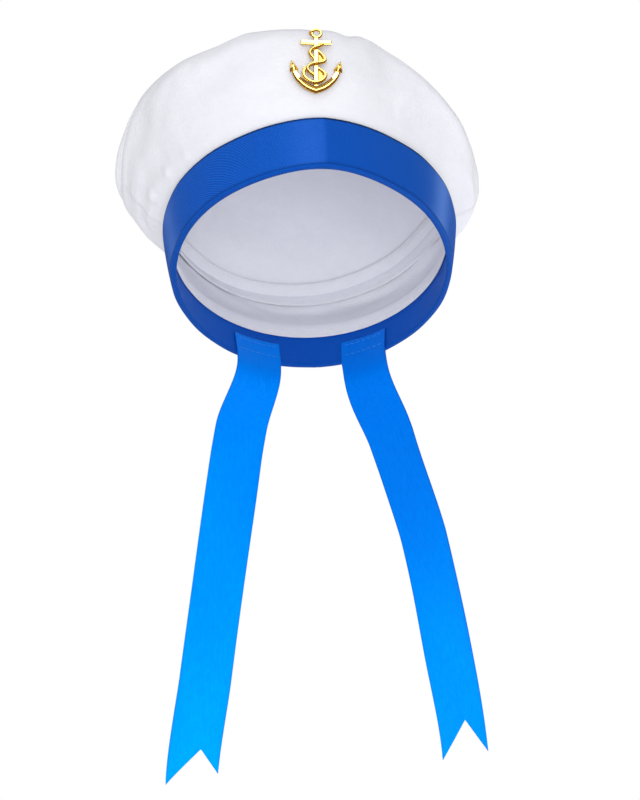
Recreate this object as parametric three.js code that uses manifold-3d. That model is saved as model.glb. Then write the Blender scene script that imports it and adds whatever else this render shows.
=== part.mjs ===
// Sailor cap: a soft white crown of three sewn panels on a blue twill band,
// with a gold fouled-anchor badge at the front and two satin tails at the back.
// Millimetres, +Z up, the cap's front towards -Y. The origin is the centre of
// the band's lower rim, where the cap sits.
import * as THREE from 'three';
import { mergeVertices } from 'three/addons/utils/BufferGeometryUtils.js';
import Module from 'manifold-3d';

const wasm = await Module();
wasm.setup();

// ---------------------------------------------------------------- sizes ----
const TIPPED_BACK = 31.6; // degrees, the cap's front edge up
const SIDE_UP = 3.3;      // degrees, its +X side up
const GAP = 0.3;          // between neighbouring pieces
const CLOTH = 1.2;        // crown wall
const TUCK = 9;           // the crown's raw edge, down inside the band
const STEPS_FRONT = 72, STEPS_BACK = 30, STEPS_WALL = 10;
const STEPS_ROUND = 60, STEPS_LID = 120, STEPS_TOP = 8;

// Head band: an oval ring that widens upwards, folded at its lower edge.
const BAND = { halfWidth: 83, halfDepth: 103.5, height: 31, flare: 4.5, wall: 3.6, bow: 0.4 };
const RIM = { halfWidth: BAND.halfWidth + BAND.flare, halfDepth: BAND.halfDepth + BAND.flare };

// Crown sections round the cap, from the band's upper rim: how far out and how
// high the wall's middle and the perimeter seam are. deg is from the front,
// positive towards +X.
const CROWN = [
  { deg: -150, midOut: 7.5, midUp: 48.0, seamOut: 13.5, seamUp: 64.5 },
  { deg: -120, midOut: 6.0, midUp: 51.0, seamOut: 14.5, seamUp: 70.5 },
  { deg: -90, midOut: 14.0, midUp: 51.5, seamOut: 25.5, seamUp: 71.5 },
  { deg: -60, midOut: 12.0, midUp: 60.0, seamOut: 20.2, seamUp: 89.2 },
  { deg: -30, midOut: 8.8, midUp: 61.0, seamOut: 8.0, seamUp: 95.2 },
  { deg: 0, midOut: 5.0, midUp: 61.5, seamOut: 0.4, seamUp: 94.2 },
  { deg: 30, midOut: 5.2, midUp: 61.0, seamOut: -0.2, seamUp: 94.4 },
  { deg: 60, midOut: 9.4, midUp: 49.5, seamOut: 12.6, seamUp: 68.2 },
  { deg: 90, midOut: 9.4, midUp: 41.0, seamOut: 14.4, seamUp: 50.5 },
  { deg: 120, midOut: 4.0, midUp: 47.5, seamOut: 2.0, seamUp: 63.5 },
  { deg: 150, midOut: 5.0, midUp: 48.0, seamOut: 5.0, seamUp: 64.5 },
  { deg: 180, midOut: 7.5, midUp: 47.5, seamOut: 10.5, seamUp: 63.5 },
];
// Over the front the wall stands proud in a soft shoulder and rolls back to the seam.
const SHOULDER = { out: 5.6, drop: 10, from: 0.3, to: 0.75 };
// The front's soft centre crease pushes the oval out to a blunt nose.
const NOSE = { deg: 8, spread: 20, out: 4 };
// Sags between the seam's corners, where the cloth hangs in.
const SAGS = [
  { deg: -112, spread: 13, out: -4.0, up: 1.5 },
  { deg: -28, spread: 9, out: -1.6, up: -2.0 },
  { deg: 32, spread: 8, out: -2.4, up: -2.8 },
  { deg: 110, spread: 12, out: -3.0, up: 1.5 },
];
// How the edge at the front stands up or dips between them.
const EDGE_RISE = [
  { deg: 32, spread: 8.5, up: 4.4 },
  { deg: 18.5, spread: 6, up: -3.0 },
  { deg: 7, spread: 8, up: -2.0 },
  { deg: -23, spread: 9, up: 2.6 },
];
const SIDE_SEAMS = [-86, 90];     // degrees, where front and back panels meet
const TOP = { x: -3, y: 10, z: 104, fullness: 2.2, roll: 3, rollSpan: 1 / 3 };
const LID = 1.3;          // the top panel's lift over the walls' edges

// Badge: an anchor with a ring, stock, shank, arms and a rope round the shank.
const BADGE = { deg: 5.4, along: 0.64, facing: 4, lean: 2.6, thick: 2.0, bendRadius: 160, standOff: 1.0 };
const ANCHOR = {
  ringY: 17.6, ringR: 2.8, ringTube: 0.95,
  stockHalf: 8.7, stockY: 11.4, stockTall: 3.6,
  shankHalf: 1.3, shankTop: 15.2, shankBottom: -20,
};
// One arm's outline, from the crown up the outside to the fluke and back inside.
const ARM = [
  { x: 0, y: -22.9 }, { x: 4, y: -21.2 }, { x: 7, y: -19.2 }, { x: 10, y: -16.0 },
  { x: 11.8, y: -13.4 }, { x: 13.2, y: -10.2 }, { x: 14.9, y: -8.6 }, { x: 14.2, y: -0.9 },
  { x: 9.8, y: -7.1 }, { x: 11.0, y: -8.8 }, { x: 9.2, y: -11.6 }, { x: 7, y: -14.0 },
  { x: 4, y: -16.7 }, { x: 0, y: -18.6 },
];
const ROPE_RADIUS = 0.9;
// The rope's way down: beside the shank, across it in front, and back.
const ROPE = [
  { x: 2.4, y: 13.6, z: 1.2 }, { x: 3.8, y: 7.8, z: 1.9 }, { x: 0.0, y: 6.6, z: 3.2 },
  { x: -4.0, y: 3.8, z: 1.6 }, { x: 0.0, y: 1.4, z: 0.9 }, { x: 4.7, y: -0.6, z: 1.6 },
  { x: 0.0, y: -3.3, z: 3.2 }, { x: -4.9, y: -5.2, z: 1.6 }, { x: 0.0, y: -6.8, z: 0.9 },
  { x: 4.6, y: -8.8, z: 1.6 }, { x: 5.6, y: -12.2, z: 2.0 }, { x: 3.8, y: -15.2, z: 2.6 },
  { x: -0.6, y: -16.9, z: 3.2 }, { x: -4.8, y: -14.9, z: 2.4 }, { x: -7.4, y: -11.2, z: 1.8 },
  { x: -6.8, y: -7.4, z: 1.6 },
];
const PIN = { radius: 1.6, discRadius: 7, disc: 1.2, back: 0.9 };

// Tails: satin ribbon, tucked inside the band and hanging outside the cap's
// tilt. Rows down the tail give its middle, its lean and its turn.
const RIBBON = { width: 32, wall: 1, tuck: 15, ease: 46, rows: 26, columns: 6 };
const TAILS = [
  {
    name: 'ribbon_left', deg: -152.5,
    fork: { left: 266, right: 255, notch: 241.7, notchAt: 0.62 },
    way: [
      { down: 0, x: -37.5, y: 76, lean: -10, turn: 14 },
      { down: 60, x: -46.8, y: 78, lean: -8.5, turn: 8 },
      { down: 130, x: -56.8, y: 80, lean: -8, turn: 5 },
      { down: 200, x: -66.3, y: 81, lean: -8, turn: 4 },
      { down: 262, x: -74.8, y: 81, lean: -8, turn: 4 },
    ],
  },
  {
    name: 'ribbon_right', deg: 158,
    fork: { left: 249.4, right: 246.3, notch: 225.7, notchAt: 0.6 },
    way: [
      { down: 0, x: 30.0, y: 79, lean: 22, turn: -10 },
      { down: 50, x: 48.6, y: 80, lean: 21, turn: -26 },
      { down: 110, x: 69.0, y: 79, lean: 14, turn: -32 },
      { down: 180, x: 83.4, y: 80, lean: 11.5, turn: -27 },
      { down: 250, x: 95.0, y: 83, lean: 9, turn: -26 },
    ],
  },
];

// ------------------------------------------------------------- helpers -----
const rad = THREE.MathUtils.degToRad;
const turned = (deg, from) => THREE.MathUtils.euclideanModulo(deg - from + 180, 360) - 180;

// Smooth closed curve through evenly spaced rows of a table's column.
function around(table, column, deg) {
  const n = table.length, step = 360 / n;
  const t = THREE.MathUtils.euclideanModulo(deg - table[0].deg, 360) / step;
  const i = Math.floor(t), f = t - i;
  const at = (k) => table[THREE.MathUtils.euclideanModulo(i + k, n)][column];
  const [a, b, c, d] = [at(-1), at(0), at(1), at(2)];
  return 0.5 * (2 * b + (c - a) * f + (2 * a - 5 * b + 4 * c - d) * f * f + (3 * b - a - 3 * c + d) * f ** 3);
}

// Smooth open curve through the rows of a table, by its first column.
function along(table, key, column, value) {
  const last = table.length - 1;
  let i = 0;
  while (i < last - 1 && value > table[i + 1][key]) i += 1;
  const f = (value - table[i][key]) / (table[i + 1][key] - table[i][key]);
  const at = (k) => table[THREE.MathUtils.clamp(i + k, 0, last)][column];
  const [a, b, c, d] = [at(-1), at(0), at(1), at(2)];
  return 0.5 * (2 * b + (c - a) * f + (2 * a - 5 * b + 4 * c - d) * f * f + (3 * b - a - 3 * c + d) * f ** 3);
}

// Point out from an oval, square to it, at a height.
function fromOval(deg, out, up, halfWidth, halfDepth) {
  const s = Math.sin(rad(deg)), c = Math.cos(rad(deg));
  const normal = new THREE.Vector2(s / halfWidth, -c / halfDepth).normalize();
  const off = out + NOSE.out * Math.exp(-((turned(deg, NOSE.deg) / NOSE.spread) ** 2));
  return new THREE.Vector3(halfWidth * s + off * normal.x, -halfDepth * c + off * normal.y, up);
}

// Closed wall on a surface at(u, v), between two offsets along its normal.
// closed: u runs all the way round. pole: v ends in one point.
function wallSolid(at, uSteps, vSteps, low, high, { closed = false, pole = false } = {}) {
  const cols = closed ? uSteps : uSteps + 1;
  const rows = pole ? vSteps : vSteps + 1;
  const eps = 1e-3;
  const normalAt = (u, v) => {
    const u0 = closed ? u - eps : Math.max(0, u - eps), u1 = closed ? u + eps : Math.min(1, u + eps);
    const v0 = Math.max(0, v - eps), v1 = Math.min(1, v + eps);
    const du = at(u1, v).sub(at(u0, v)), dv = at(u, v1).sub(at(u, v0));
    return du.cross(dv).normalize();
  };
  const position = [], index = [];
  for (const offset of [low, high]) {
    for (let j = 0; j < rows; j += 1) {
      for (let i = 0; i < cols; i += 1) {
        const u = i / uSteps, v = j / vSteps;
        position.push(...at(u, v).addScaledVector(normalAt(u, v), offset).toArray());
      }
    }
    if (pole) position.push(...at(0, 1).add(new THREE.Vector3(0, 0, offset)).toArray());
  }
  const layer = cols * rows + (pole ? 1 : 0);
  const id = (k, i, j) => k * layer + j * cols + (closed ? i % cols : i);
  const tri = (a, b, c) => index.push(a, b, c);
  const quad = (a, b, c, d) => { tri(a, b, c); tri(a, c, d); };
  for (let j = 0; j < rows - 1; j += 1) {
    for (let i = 0; i < uSteps; i += 1) {
      quad(id(1, i, j), id(1, i + 1, j), id(1, i + 1, j + 1), id(1, i, j + 1));
      quad(id(0, i, j), id(0, i, j + 1), id(0, i + 1, j + 1), id(0, i + 1, j));
    }
  }
  for (let i = 0; i < uSteps; i += 1) {
    quad(id(0, i, 0), id(0, i + 1, 0), id(1, i + 1, 0), id(1, i, 0));
    if (pole) {
      tri(id(1, i, rows - 1), id(1, i + 1, rows - 1), 2 * layer - 1);
      tri(id(0, i + 1, rows - 1), id(0, i, rows - 1), layer - 1);
    } else {
      quad(id(1, i, rows - 1), id(1, i + 1, rows - 1), id(0, i + 1, rows - 1), id(0, i, rows - 1));
    }
  }
  if (!closed) {
    for (let j = 0; j < rows - 1; j += 1) {
      quad(id(0, 0, j), id(1, 0, j), id(1, 0, j + 1), id(0, 0, j + 1));
      quad(id(1, uSteps, j), id(0, uSteps, j), id(0, uSteps, j + 1), id(1, uSteps, j + 1));
    }
  }
  const geometry = new THREE.BufferGeometry();
  geometry.setAttribute('position', new THREE.Float32BufferAttribute(position, 3));
  geometry.setIndex(index);
  return facingOut(geometry);
}

// Turns all triangles over where the solid's volume comes out negative.
function facingOut(geometry) {
  const p = geometry.attributes.position, ix = geometry.index.array;
  const a = new THREE.Vector3(), b = new THREE.Vector3(), c = new THREE.Vector3();
  let volume = 0;
  for (let k = 0; k < ix.length; k += 3) {
    a.fromBufferAttribute(p, ix[k]); b.fromBufferAttribute(p, ix[k + 1]); c.fromBufferAttribute(p, ix[k + 2]);
    volume += a.dot(b.cross(c));
  }
  if (volume < 0) {
    for (let k = 0; k < ix.length; k += 3) [ix[k + 1], ix[k + 2]] = [ix[k + 2], ix[k + 1]];
  }
  geometry.computeVertexNormals();
  return geometry;
}

function solid(geometry) {
  let g = geometry.clone();
  for (const name of ['normal', 'uv']) g.deleteAttribute(name);
  g = mergeVertices(g, 1e-4);
  return new wasm.Manifold(new wasm.Mesh({
    numProp: 3,
    vertProperties: new Float32Array(g.attributes.position.array),
    triVerts: new Uint32Array(g.index.array),
  }));
}

function shape(manifold) {
  const mesh = manifold.getMesh();
  const geometry = new THREE.BufferGeometry();
  geometry.setAttribute('position', new THREE.Float32BufferAttribute(Array.from(mesh.vertProperties), 3));
  geometry.setIndex(Array.from(mesh.triVerts));
  geometry.computeVertexNormals();
  return geometry;
}

// --------------------------------------------------------------- crown -----
const swell = (rows, deg, column) => rows.reduce(
  (sum, row) => sum + row[column] * Math.exp(-((turned(deg, row.deg) / row.spread) ** 2)), 0);
const sag = (deg, column) => swell(SAGS, deg, column);

// The crown's wall from its tucked edge (t = 0) to the perimeter seam (t = 1).
function crownWall(deg, t, eased = true) {
  const clear = BAND.wall + GAP + CLOTH / 2;
  const tuckOut = -clear - 0.3 - (BAND.flare * TUCK) / BAND.height;
  const mid = new THREE.Vector2(around(CROWN, 'midOut', deg) + 0.45 * sag(deg, 'out'), around(CROWN, 'midUp', deg));
  const seam = new THREE.Vector2(
    around(CROWN, 'seamOut', deg) + sag(deg, 'out'),
    around(CROWN, 'seamUp', deg) + sag(deg, 'up') + (eased ? swell(EDGE_RISE, deg, 'up') : 0));
  const front = THREE.MathUtils.smoothstep(Math.cos(rad(turned(deg, NOSE.deg))), SHOULDER.from, SHOULDER.to);
  const shoulder = mid.clone().lerp(seam, 0.55)
    .lerp(new THREE.Vector2(seam.x + SHOULDER.out, seam.y - SHOULDER.drop), front);
  const section = new THREE.SplineCurve([
    new THREE.Vector2(tuckOut, BAND.height - TUCK),
    new THREE.Vector2(-clear - 0.35, BAND.height - 0.6),
    new THREE.Vector2(-clear + 3.3, BAND.height + 5),
    mid, shoulder, seam,
  ]);
  const p = section.getPoint(t);
  return fromOval(deg, p.x, p.y, RIM.halfWidth, RIM.halfDepth);
}

// The top panel from the perimeter seam (s = 0) to its highest point (s = 1).
function crownTop(deg, s) {
  const seam = crownWall(deg, 1);
  const rise = 1 - (1 - s) ** TOP.fullness;
  const roll = TOP.roll * Math.sin(Math.PI * Math.min(1, s / TOP.rollSpan));
  return new THREE.Vector3(
    THREE.MathUtils.lerp(seam.x, TOP.x, s),
    THREE.MathUtils.lerp(seam.y, TOP.y, s),
    THREE.MathUtils.lerp(seam.z, TOP.z, rise) + roll,
  );
}

const seamGap = THREE.MathUtils.radToDeg(GAP / 2 / RIM.halfDepth) * 1.35;
const panel = (from, to, steps) => wallSolid(
  (u, v) => crownWall(THREE.MathUtils.lerp(from, to, u), v), steps, STEPS_WALL, -CLOTH / 2, CLOTH / 2);

const crownBackShape = panel(SIDE_SEAMS[1] + seamGap, 360 + SIDE_SEAMS[0] - seamGap, STEPS_BACK);
const crownTopShape = wallSolid(
  (u, v) => crownTop(360 * u, v), STEPS_LID, STEPS_TOP, LID - CLOTH / 2, LID + CLOTH / 2, { closed: true, pole: true });

// Badge's own axes on the front panel: x across, y up the wall, z out of it.
function badgeSeat() {
  const at = (t) => crownWall(BADGE.deg, BADGE.along + t, false);
  const across = new THREE.Vector3(Math.cos(rad(BADGE.facing)), Math.sin(rad(BADGE.facing)), 0);
  const up = at(0.06).sub(at(-0.06));
  up.addScaledVector(across, -up.dot(across)).normalize();
  const out = across.clone().cross(up);
  const lean = new THREE.Quaternion().setFromAxisAngle(out, -rad(BADGE.lean));
  return new THREE.Matrix4()
    .makeBasis(across.applyQuaternion(lean), up.applyQuaternion(lean), out).setPosition(at(0));
}
const seat = badgeSeat();

// A round post along the badge's z axis, between two heights.
function post(radius, from, to, sides) {
  return new THREE.CylinderGeometry(radius, radius, to - from, sides)
    .rotateX(Math.PI / 2).translate(0, 0, (from + to) / 2);
}
const pinHole = post(PIN.radius + GAP, -4, 4, 20).applyMatrix4(seat);
const crownFrontShape = shape(
  solid(panel(SIDE_SEAMS[0] + seamGap, SIDE_SEAMS[1] - seamGap, STEPS_FRONT)).subtract(solid(pinHole)));

// ---------------------------------------------------------------- band -----
// Section: outer face bowed a little, lower edge a round fold, upper edge eased.
function bandSection() {
  const w = BAND.wall, h = BAND.height, fold = w / 2, ease = 0.8;
  const ring = [];
  for (let k = 0; k <= 4; k += 1) {
    const a = Math.PI + (Math.PI * k) / 4;
    ring.push({ out: -fold + fold * Math.cos(a), up: fold + fold * Math.sin(a) });
  }
  ring.push({ out: BAND.bow, up: h * 0.3 }, { out: BAND.bow, up: h * 0.7 });
  ring.push({ out: 0, up: h - ease }, { out: -ease, up: h });
  ring.push({ out: -w + ease, up: h }, { out: -w, up: h - ease }, { out: -w, up: h * 0.5 });
  return ring;
}

function bandShape() {
  const section = bandSection(), n = section.length;
  const position = [], index = [];
  for (let i = 0; i < STEPS_ROUND; i += 1) {
    for (const { out, up } of section) {
      const wider = (BAND.flare * up) / BAND.height;
      position.push(...fromOval((360 * i) / STEPS_ROUND, out, up, BAND.halfWidth + wider, BAND.halfDepth + wider).toArray());
    }
  }
  for (let i = 0; i < STEPS_ROUND; i += 1) {
    const a = i * n, b = ((i + 1) % STEPS_ROUND) * n;
    for (let k = 0; k < n; k += 1) {
      const l = (k + 1) % n;
      index.push(a + k, b + k, b + l, a + k, b + l, a + l);
    }
  }
  const geometry = new THREE.BufferGeometry();
  geometry.setAttribute('position', new THREE.Float32BufferAttribute(position, 3));
  geometry.setIndex(index);
  return facingOut(geometry);
}

// --------------------------------------------------------------- badge -----
function extruded(outline, thick, z) {
  return new THREE.ExtrudeGeometry(outline, {
    depth: thick, curveSegments: 10, bevelEnabled: true,
    bevelThickness: 0.4, bevelSize: 0.4, bevelOffset: -0.4, bevelSegments: 1,
  }).translate(0, 0, z);
}

function badgeShape() {
  const A = ANCHOR, t = BADGE.thick;
  const right = ARM.map((p) => new THREE.Vector2(p.x, p.y));
  const left = ARM.slice(1, -1).reverse().map((p) => new THREE.Vector2(-p.x, p.y));
  const arms = new THREE.Shape([...right, ...left]);

  const stock = new THREE.Shape();
  const sh = A.stockHalf, st = A.stockTall / 2;
  stock.moveTo(-sh, A.stockY - st);
  stock.lineTo(sh, A.stockY - st);
  stock.lineTo(sh, A.stockY + st);
  stock.lineTo(-sh, A.stockY + st);
  stock.closePath();

  const shank = new THREE.Shape();
  shank.moveTo(-A.shankHalf, A.shankBottom);
  shank.lineTo(A.shankHalf, A.shankBottom);
  shank.lineTo(A.shankHalf, A.shankTop);
  shank.lineTo(-A.shankHalf, A.shankTop);
  shank.closePath();

  const ring = new THREE.TorusGeometry(A.ringR, A.ringTube, 7, 18).translate(0, A.ringY, A.ringTube);
  const line = new THREE.CatmullRomCurve3(ROPE.map((p) => new THREE.Vector3(p.x, p.y, p.z)));
  const strand = new THREE.Shape().absarc(0, 0, ROPE_RADIUS, 0, 2 * Math.PI, false);
  const rope = new THREE.ExtrudeGeometry(strand, { steps: 44, curveSegments: 3, extrudePath: line, bevelEnabled: false });

  // Every part of the casting runs into the next.
  let cast = solid(extruded(arms, t - 0.8, 0.4));
  for (const g of [extruded(stock, t - 0.4, 0.4), extruded(shank, t, 0.4), ring, rope]) cast = cast.add(solid(g));
  const geometry = shape(cast);

  // Bent to the cap's curve, its lowest point clear of the cloth.
  const p = geometry.attributes.position;
  for (let i = 0; i < p.count; i += 1) {
    p.setZ(i, p.getZ(i) - p.getX(i) ** 2 / (2 * BADGE.bendRadius) + CLOTH / 2 + BADGE.standOff);
  }
  geometry.computeVertexNormals();
  return geometry.applyMatrix4(seat);
}

function pinShape() {
  const stem = post(PIN.radius, -CLOTH / 2 - GAP - PIN.back - PIN.disc + 0.4, CLOTH / 2 + BADGE.standOff - GAP, 16);
  const disc = post(PIN.discRadius, -CLOTH / 2 - GAP - PIN.back - PIN.disc, -CLOTH / 2 - GAP - PIN.back, 28);
  return shape(solid(stem).add(solid(disc))).applyMatrix4(seat);
}

// --------------------------------------------------------------- tails -----
const worn = new THREE.Matrix4().makeRotationFromEuler(new THREE.Euler(-rad(TIPPED_BACK), -rad(SIDE_UP), 0, 'YZX'));

// A tail's surface: across it from 0 to 1 and down it from the tucked end.
function tailAt(tail, across, down) {
  const side = (across - 0.5) * RIBBON.width;
  const clear = BAND.wall + GAP + RIBBON.wall / 2 + 0.1;
  const spread = THREE.MathUtils.radToDeg(side / (BAND.halfDepth * 0.82));
  // along the band's inner face, and on in its direction below the rim
  const wider = (BAND.flare * -down) / BAND.height;
  const lean = Math.tan(rad(tail.way[0].lean)) * down;
  const onBand = fromOval(tail.deg - spread, -clear, -down, BAND.halfWidth + wider, BAND.halfDepth + wider)
    .applyMatrix4(worn).add(new THREE.Vector3(down > 0 ? lean * 0.3 : 0, 0, 0));
  if (down <= 0) return onBand;
  // hanging free
  const root = fromOval(tail.deg, -clear, 0, BAND.halfWidth, BAND.halfDepth).applyMatrix4(worn);
  const get = (column) => along(tail.way, 'down', column, down);
  const tilt = rad(get('lean')), turn = rad(get('turn'));
  const acrossAxis = new THREE.Vector3(Math.cos(tilt) * Math.cos(turn), Math.sin(turn), Math.sin(tilt) * Math.cos(turn));
  const free = new THREE.Vector3(get('x'), get('y'), root.z - down).addScaledVector(acrossAxis, side);
  return onBand.lerp(free, THREE.MathUtils.smootherstep(down, 0, RIBBON.ease));
}

function tailShape(tail) {
  // swallowtail: the notch ends short of the two tips
  const { left, right, notch, notchAt } = tail.fork;
  const end = (across) => (across < notchAt
    ? THREE.MathUtils.lerp(left, notch, across / notchAt)
    : THREE.MathUtils.lerp(notch, right, (across - notchAt) / (1 - notchAt)));
  const columns = RIBBON.columns;
  const column = (u) => {            // one column of the grid lands on the notch
    const k = u * columns, half = columns / 2;
    return k <= half ? (k / half) * notchAt : notchAt + ((k - half) / half) * (1 - notchAt);
  };
  return wallSolid((u, v) => {
    const across = column(u);
    return tailAt(tail, across, THREE.MathUtils.lerp(-RIBBON.tuck, end(across), v));
  }, columns, RIBBON.rows, -RIBBON.wall / 2, RIBBON.wall / 2);
}

// ------------------------------------------------------------ assembly -----
const white = new THREE.MeshStandardMaterial({ color: 0xf1f1f6, roughness: 0.85, metalness: 0 });
const blue = new THREE.MeshStandardMaterial({ color: 0x2456b4, roughness: 0.7, metalness: 0 });
const gold = new THREE.MeshStandardMaterial({ color: 0xd8a93f, roughness: 0.28, metalness: 1 });
const steel = new THREE.MeshStandardMaterial({ color: 0xb9bcc2, roughness: 0.4, metalness: 1 });
const azure = new THREE.MeshStandardMaterial({ color: 0x1596ff, roughness: 0.42, metalness: 0 });

const piece = (name, geometry, material) => {
  const mesh = new THREE.Mesh(geometry, material);
  mesh.name = name;
  return mesh;
};

const cap = new THREE.Group();
cap.rotation.set(-rad(TIPPED_BACK), -rad(SIDE_UP), 0, 'YZX');
cap.add(
  piece('band', bandShape(), blue),
  piece('crown_front', crownFrontShape, white.clone()),
  piece('crown_back', crownBackShape, white.clone()),
  piece('crown_top', crownTopShape, white.clone()),
  piece('anchor_badge', badgeShape(), gold),
  piece('badge_pin', pinShape(), steel),
);

const sailorCap = new THREE.Group();
sailorCap.name = 'sailor_cap';
sailorCap.add(cap);
for (const tail of TAILS) sailorCap.add(piece(tail.name, tailShape(tail), azure.clone()));

export default sailorCap;
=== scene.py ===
"""Looks of the sailor cap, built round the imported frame. Sizes in the tables are millimetres in
the cap's own frame, as worn() then tips it back; every mesh ends in metres in the row frame."""
import math

import bmesh
import bpy
import numpy as np
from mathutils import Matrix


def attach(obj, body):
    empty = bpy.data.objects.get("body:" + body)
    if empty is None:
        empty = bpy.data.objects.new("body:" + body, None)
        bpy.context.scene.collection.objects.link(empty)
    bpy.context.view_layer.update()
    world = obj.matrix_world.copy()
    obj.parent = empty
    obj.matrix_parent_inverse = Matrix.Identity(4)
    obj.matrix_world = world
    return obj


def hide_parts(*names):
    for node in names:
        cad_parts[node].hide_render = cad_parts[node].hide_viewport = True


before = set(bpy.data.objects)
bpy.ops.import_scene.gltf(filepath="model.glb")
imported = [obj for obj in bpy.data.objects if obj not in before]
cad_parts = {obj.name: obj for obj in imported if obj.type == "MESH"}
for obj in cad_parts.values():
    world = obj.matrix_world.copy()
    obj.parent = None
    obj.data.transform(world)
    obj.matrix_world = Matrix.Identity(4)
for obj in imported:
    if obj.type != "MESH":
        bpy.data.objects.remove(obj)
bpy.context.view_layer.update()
RNG = np.random.default_rng(2057)

# ------------------------------------------------------------------ sizes, as in the CAD source
TIPPED_BACK, SIDE_UP = 31.6, 3.3
BAND = dict(half_width=83.0, half_depth=103.5, height=31.0, flare=4.5, wall=3.6, bow=0.4)
RIM_W, RIM_D = BAND["half_width"] + BAND["flare"], BAND["half_depth"] + BAND["flare"]
GAP, CLOTH, TUCK = 0.3, 1.2, 9.0
CROWN = np.array([  # deg, mid_out, mid_up, seam_out, seam_up
    (-150, 7.5, 48, 13.5, 64.5), (-120, 6, 51, 14.5, 70.5), (-90, 14, 51.5, 25.5, 71.5),
    (-60, 12, 60, 20.2, 89.2), (-30, 8.8, 61, 8, 95.2), (0, 5, 61.5, 0.4, 94.2),
    (30, 5.2, 61, -0.2, 94.4), (60, 9.4, 49.5, 12.6, 68.2), (90, 9.4, 41, 14.4, 50.5),
    (120, 4, 47.5, 2, 63.5), (150, 5, 48, 5, 64.5), (180, 7.5, 47.5, 10.5, 63.5)])
SHOULDER = dict(out=5.6, drop=10.0, low=0.3, high=0.75)
NOSE = dict(deg=8.0, spread=20.0, out=4.0)
SAGS = ((-112, 13, -4, 1.5), (-28, 9, -1.6, -2), (32, 8, -2.4, -2.8), (110, 12, -3, 1.5))
TOP = dict(x=-3.0, y=10.0, z=104.0, fullness=2.2, roll=3.0, roll_span=1 / 3)
EDGE_RISE = ((32, 8.5, 4.4), (18.5, 5, -3.6), (7, 8, -2.0), (-23, 9, 2.6))     # how the edge at the front stands: deg, half-width, height

# the sewn cloth itself
SKIN = 0.8            # thickness of one layer of crown cloth
TURN = 0.8            # radius the cloth turns on where it goes into a seam
ALLOWANCE = 8.0       # cloth left inside a seam


def turned(deg, start):
    return np.mod(np.asarray(deg, float) - start + 180, 360) - 180


def smoothstep(x, low, high):
    t = np.clip((np.asarray(x, float) - low) / (high - low), 0, 1)
    return t * t * (3 - 2 * t)


def smootherstep(x, low, high):
    t = np.clip((np.asarray(x, float) - low) / (high - low), 0, 1)
    return t * t * t * (t * (6 * t - 15) + 10)


def lerp(a, b, t):
    return a + (b - a) * t


def around(column, deg):
    """A crown column at any angle, on a closed smooth line through its rows."""
    v, n = CROWN[:, column], len(CROWN)
    t = np.mod(np.asarray(deg, float) - CROWN[0, 0], 360) / (360 / n)
    i = np.floor(t).astype(int)
    f = t - i
    p0, p1, p2, p3 = v[(i - 1) % n], v[i % n], v[(i + 1) % n], v[(i + 2) % n]
    return 0.5 * (2 * p1 + (p2 - p0) * f + (2 * p0 - 5 * p1 + 4 * p2 - p3) * f * f + (3 * p1 - p0 - 3 * p2 + p3) * f ** 3)


def spline(points, t):
    """A smooth open line through points, an array (k, ...), at t from 0 to 1."""
    n = len(points) - 1
    x = np.clip(np.asarray(t, float), 0, 1) * n
    i = np.minimum(np.floor(x).astype(int), n - 1)
    f = x - i
    out = 0.0
    p = [np.asarray(q, float) for q in points]

    def pick(k):
        k = np.clip(k, 0, n)
        return sum(np.where((k == j)[..., None], p[j], 0.0) for j in range(n + 1))

    p0, p1, p2, p3 = pick(i - 1), pick(i), pick(i + 1), pick(i + 2)
    f = f[..., None]
    v0, v1 = (p2 - p0) * 0.5, (p3 - p1) * 0.5
    out = (2 * p1 - 2 * p2 + v0 + v1) * f ** 3 + (-3 * p1 + 3 * p2 - 2 * v0 - v1) * f ** 2 + v0 * f + p1
    return out


def from_oval(deg, out, up, half_width, half_depth):
    """A point out from an oval ring, at an angle from the front, and up along the cap."""
    a = np.radians(deg)
    s, c = np.sin(a), np.cos(a)
    nx, ny = s / half_width, -c / half_depth
    length = np.hypot(nx, ny)
    off = out + NOSE["out"] * np.exp(-((turned(deg, NOSE["deg"]) / NOSE["spread"]) ** 2))
    return np.stack([half_width * s + off * nx / length, -half_depth * c + off * ny / length, up + 0 * s], -1)


def sag(deg, column):
    return sum(row[column] * np.exp(-((turned(deg, row[0]) / row[1]) ** 2)) for row in SAGS)


def crown_wall(deg, t, eased=True):
    """Middle of the crown's upright cloth: t 0 inside the band, 1 at the seam round the top. eased False leaves out EDGE_RISE."""
    deg, t = np.broadcast_arrays(np.asarray(deg, float), np.asarray(t, float))
    clear = BAND["wall"] + GAP + CLOTH / 2
    tuck_out = -clear - GAP - BAND["flare"] * TUCK / BAND["height"]
    h = BAND["height"]
    one = np.ones_like(deg)
    mid = np.stack([around(1, deg) + 0.45 * sag(deg, 2), around(2, deg)], -1)
    seam = np.stack([around(3, deg) + sag(deg, 2), around(4, deg) + sag(deg, 3) + eased * sum(tall * np.exp(-((turned(deg, at) / wide) ** 2)) for at, wide, tall in EDGE_RISE)], -1)
    front = smoothstep(np.cos(np.radians(turned(deg, NOSE["deg"]))), SHOULDER["low"], SHOULDER["high"])[..., None]
    shoulder = lerp(lerp(mid, seam, 0.55), seam + np.array([SHOULDER["out"], -SHOULDER["drop"]]), front)
    points = [np.stack([tuck_out * one, (h - TUCK) * one], -1), np.stack([(-clear - 0.35) * one, (h - 0.6) * one], -1),
              np.stack([(-clear + 3.3) * one, (h + 5) * one], -1), mid, shoulder, seam]
    p = spline(points, t)
    return from_oval(deg, p[..., 0], p[..., 1], RIM_W, RIM_D)


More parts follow.
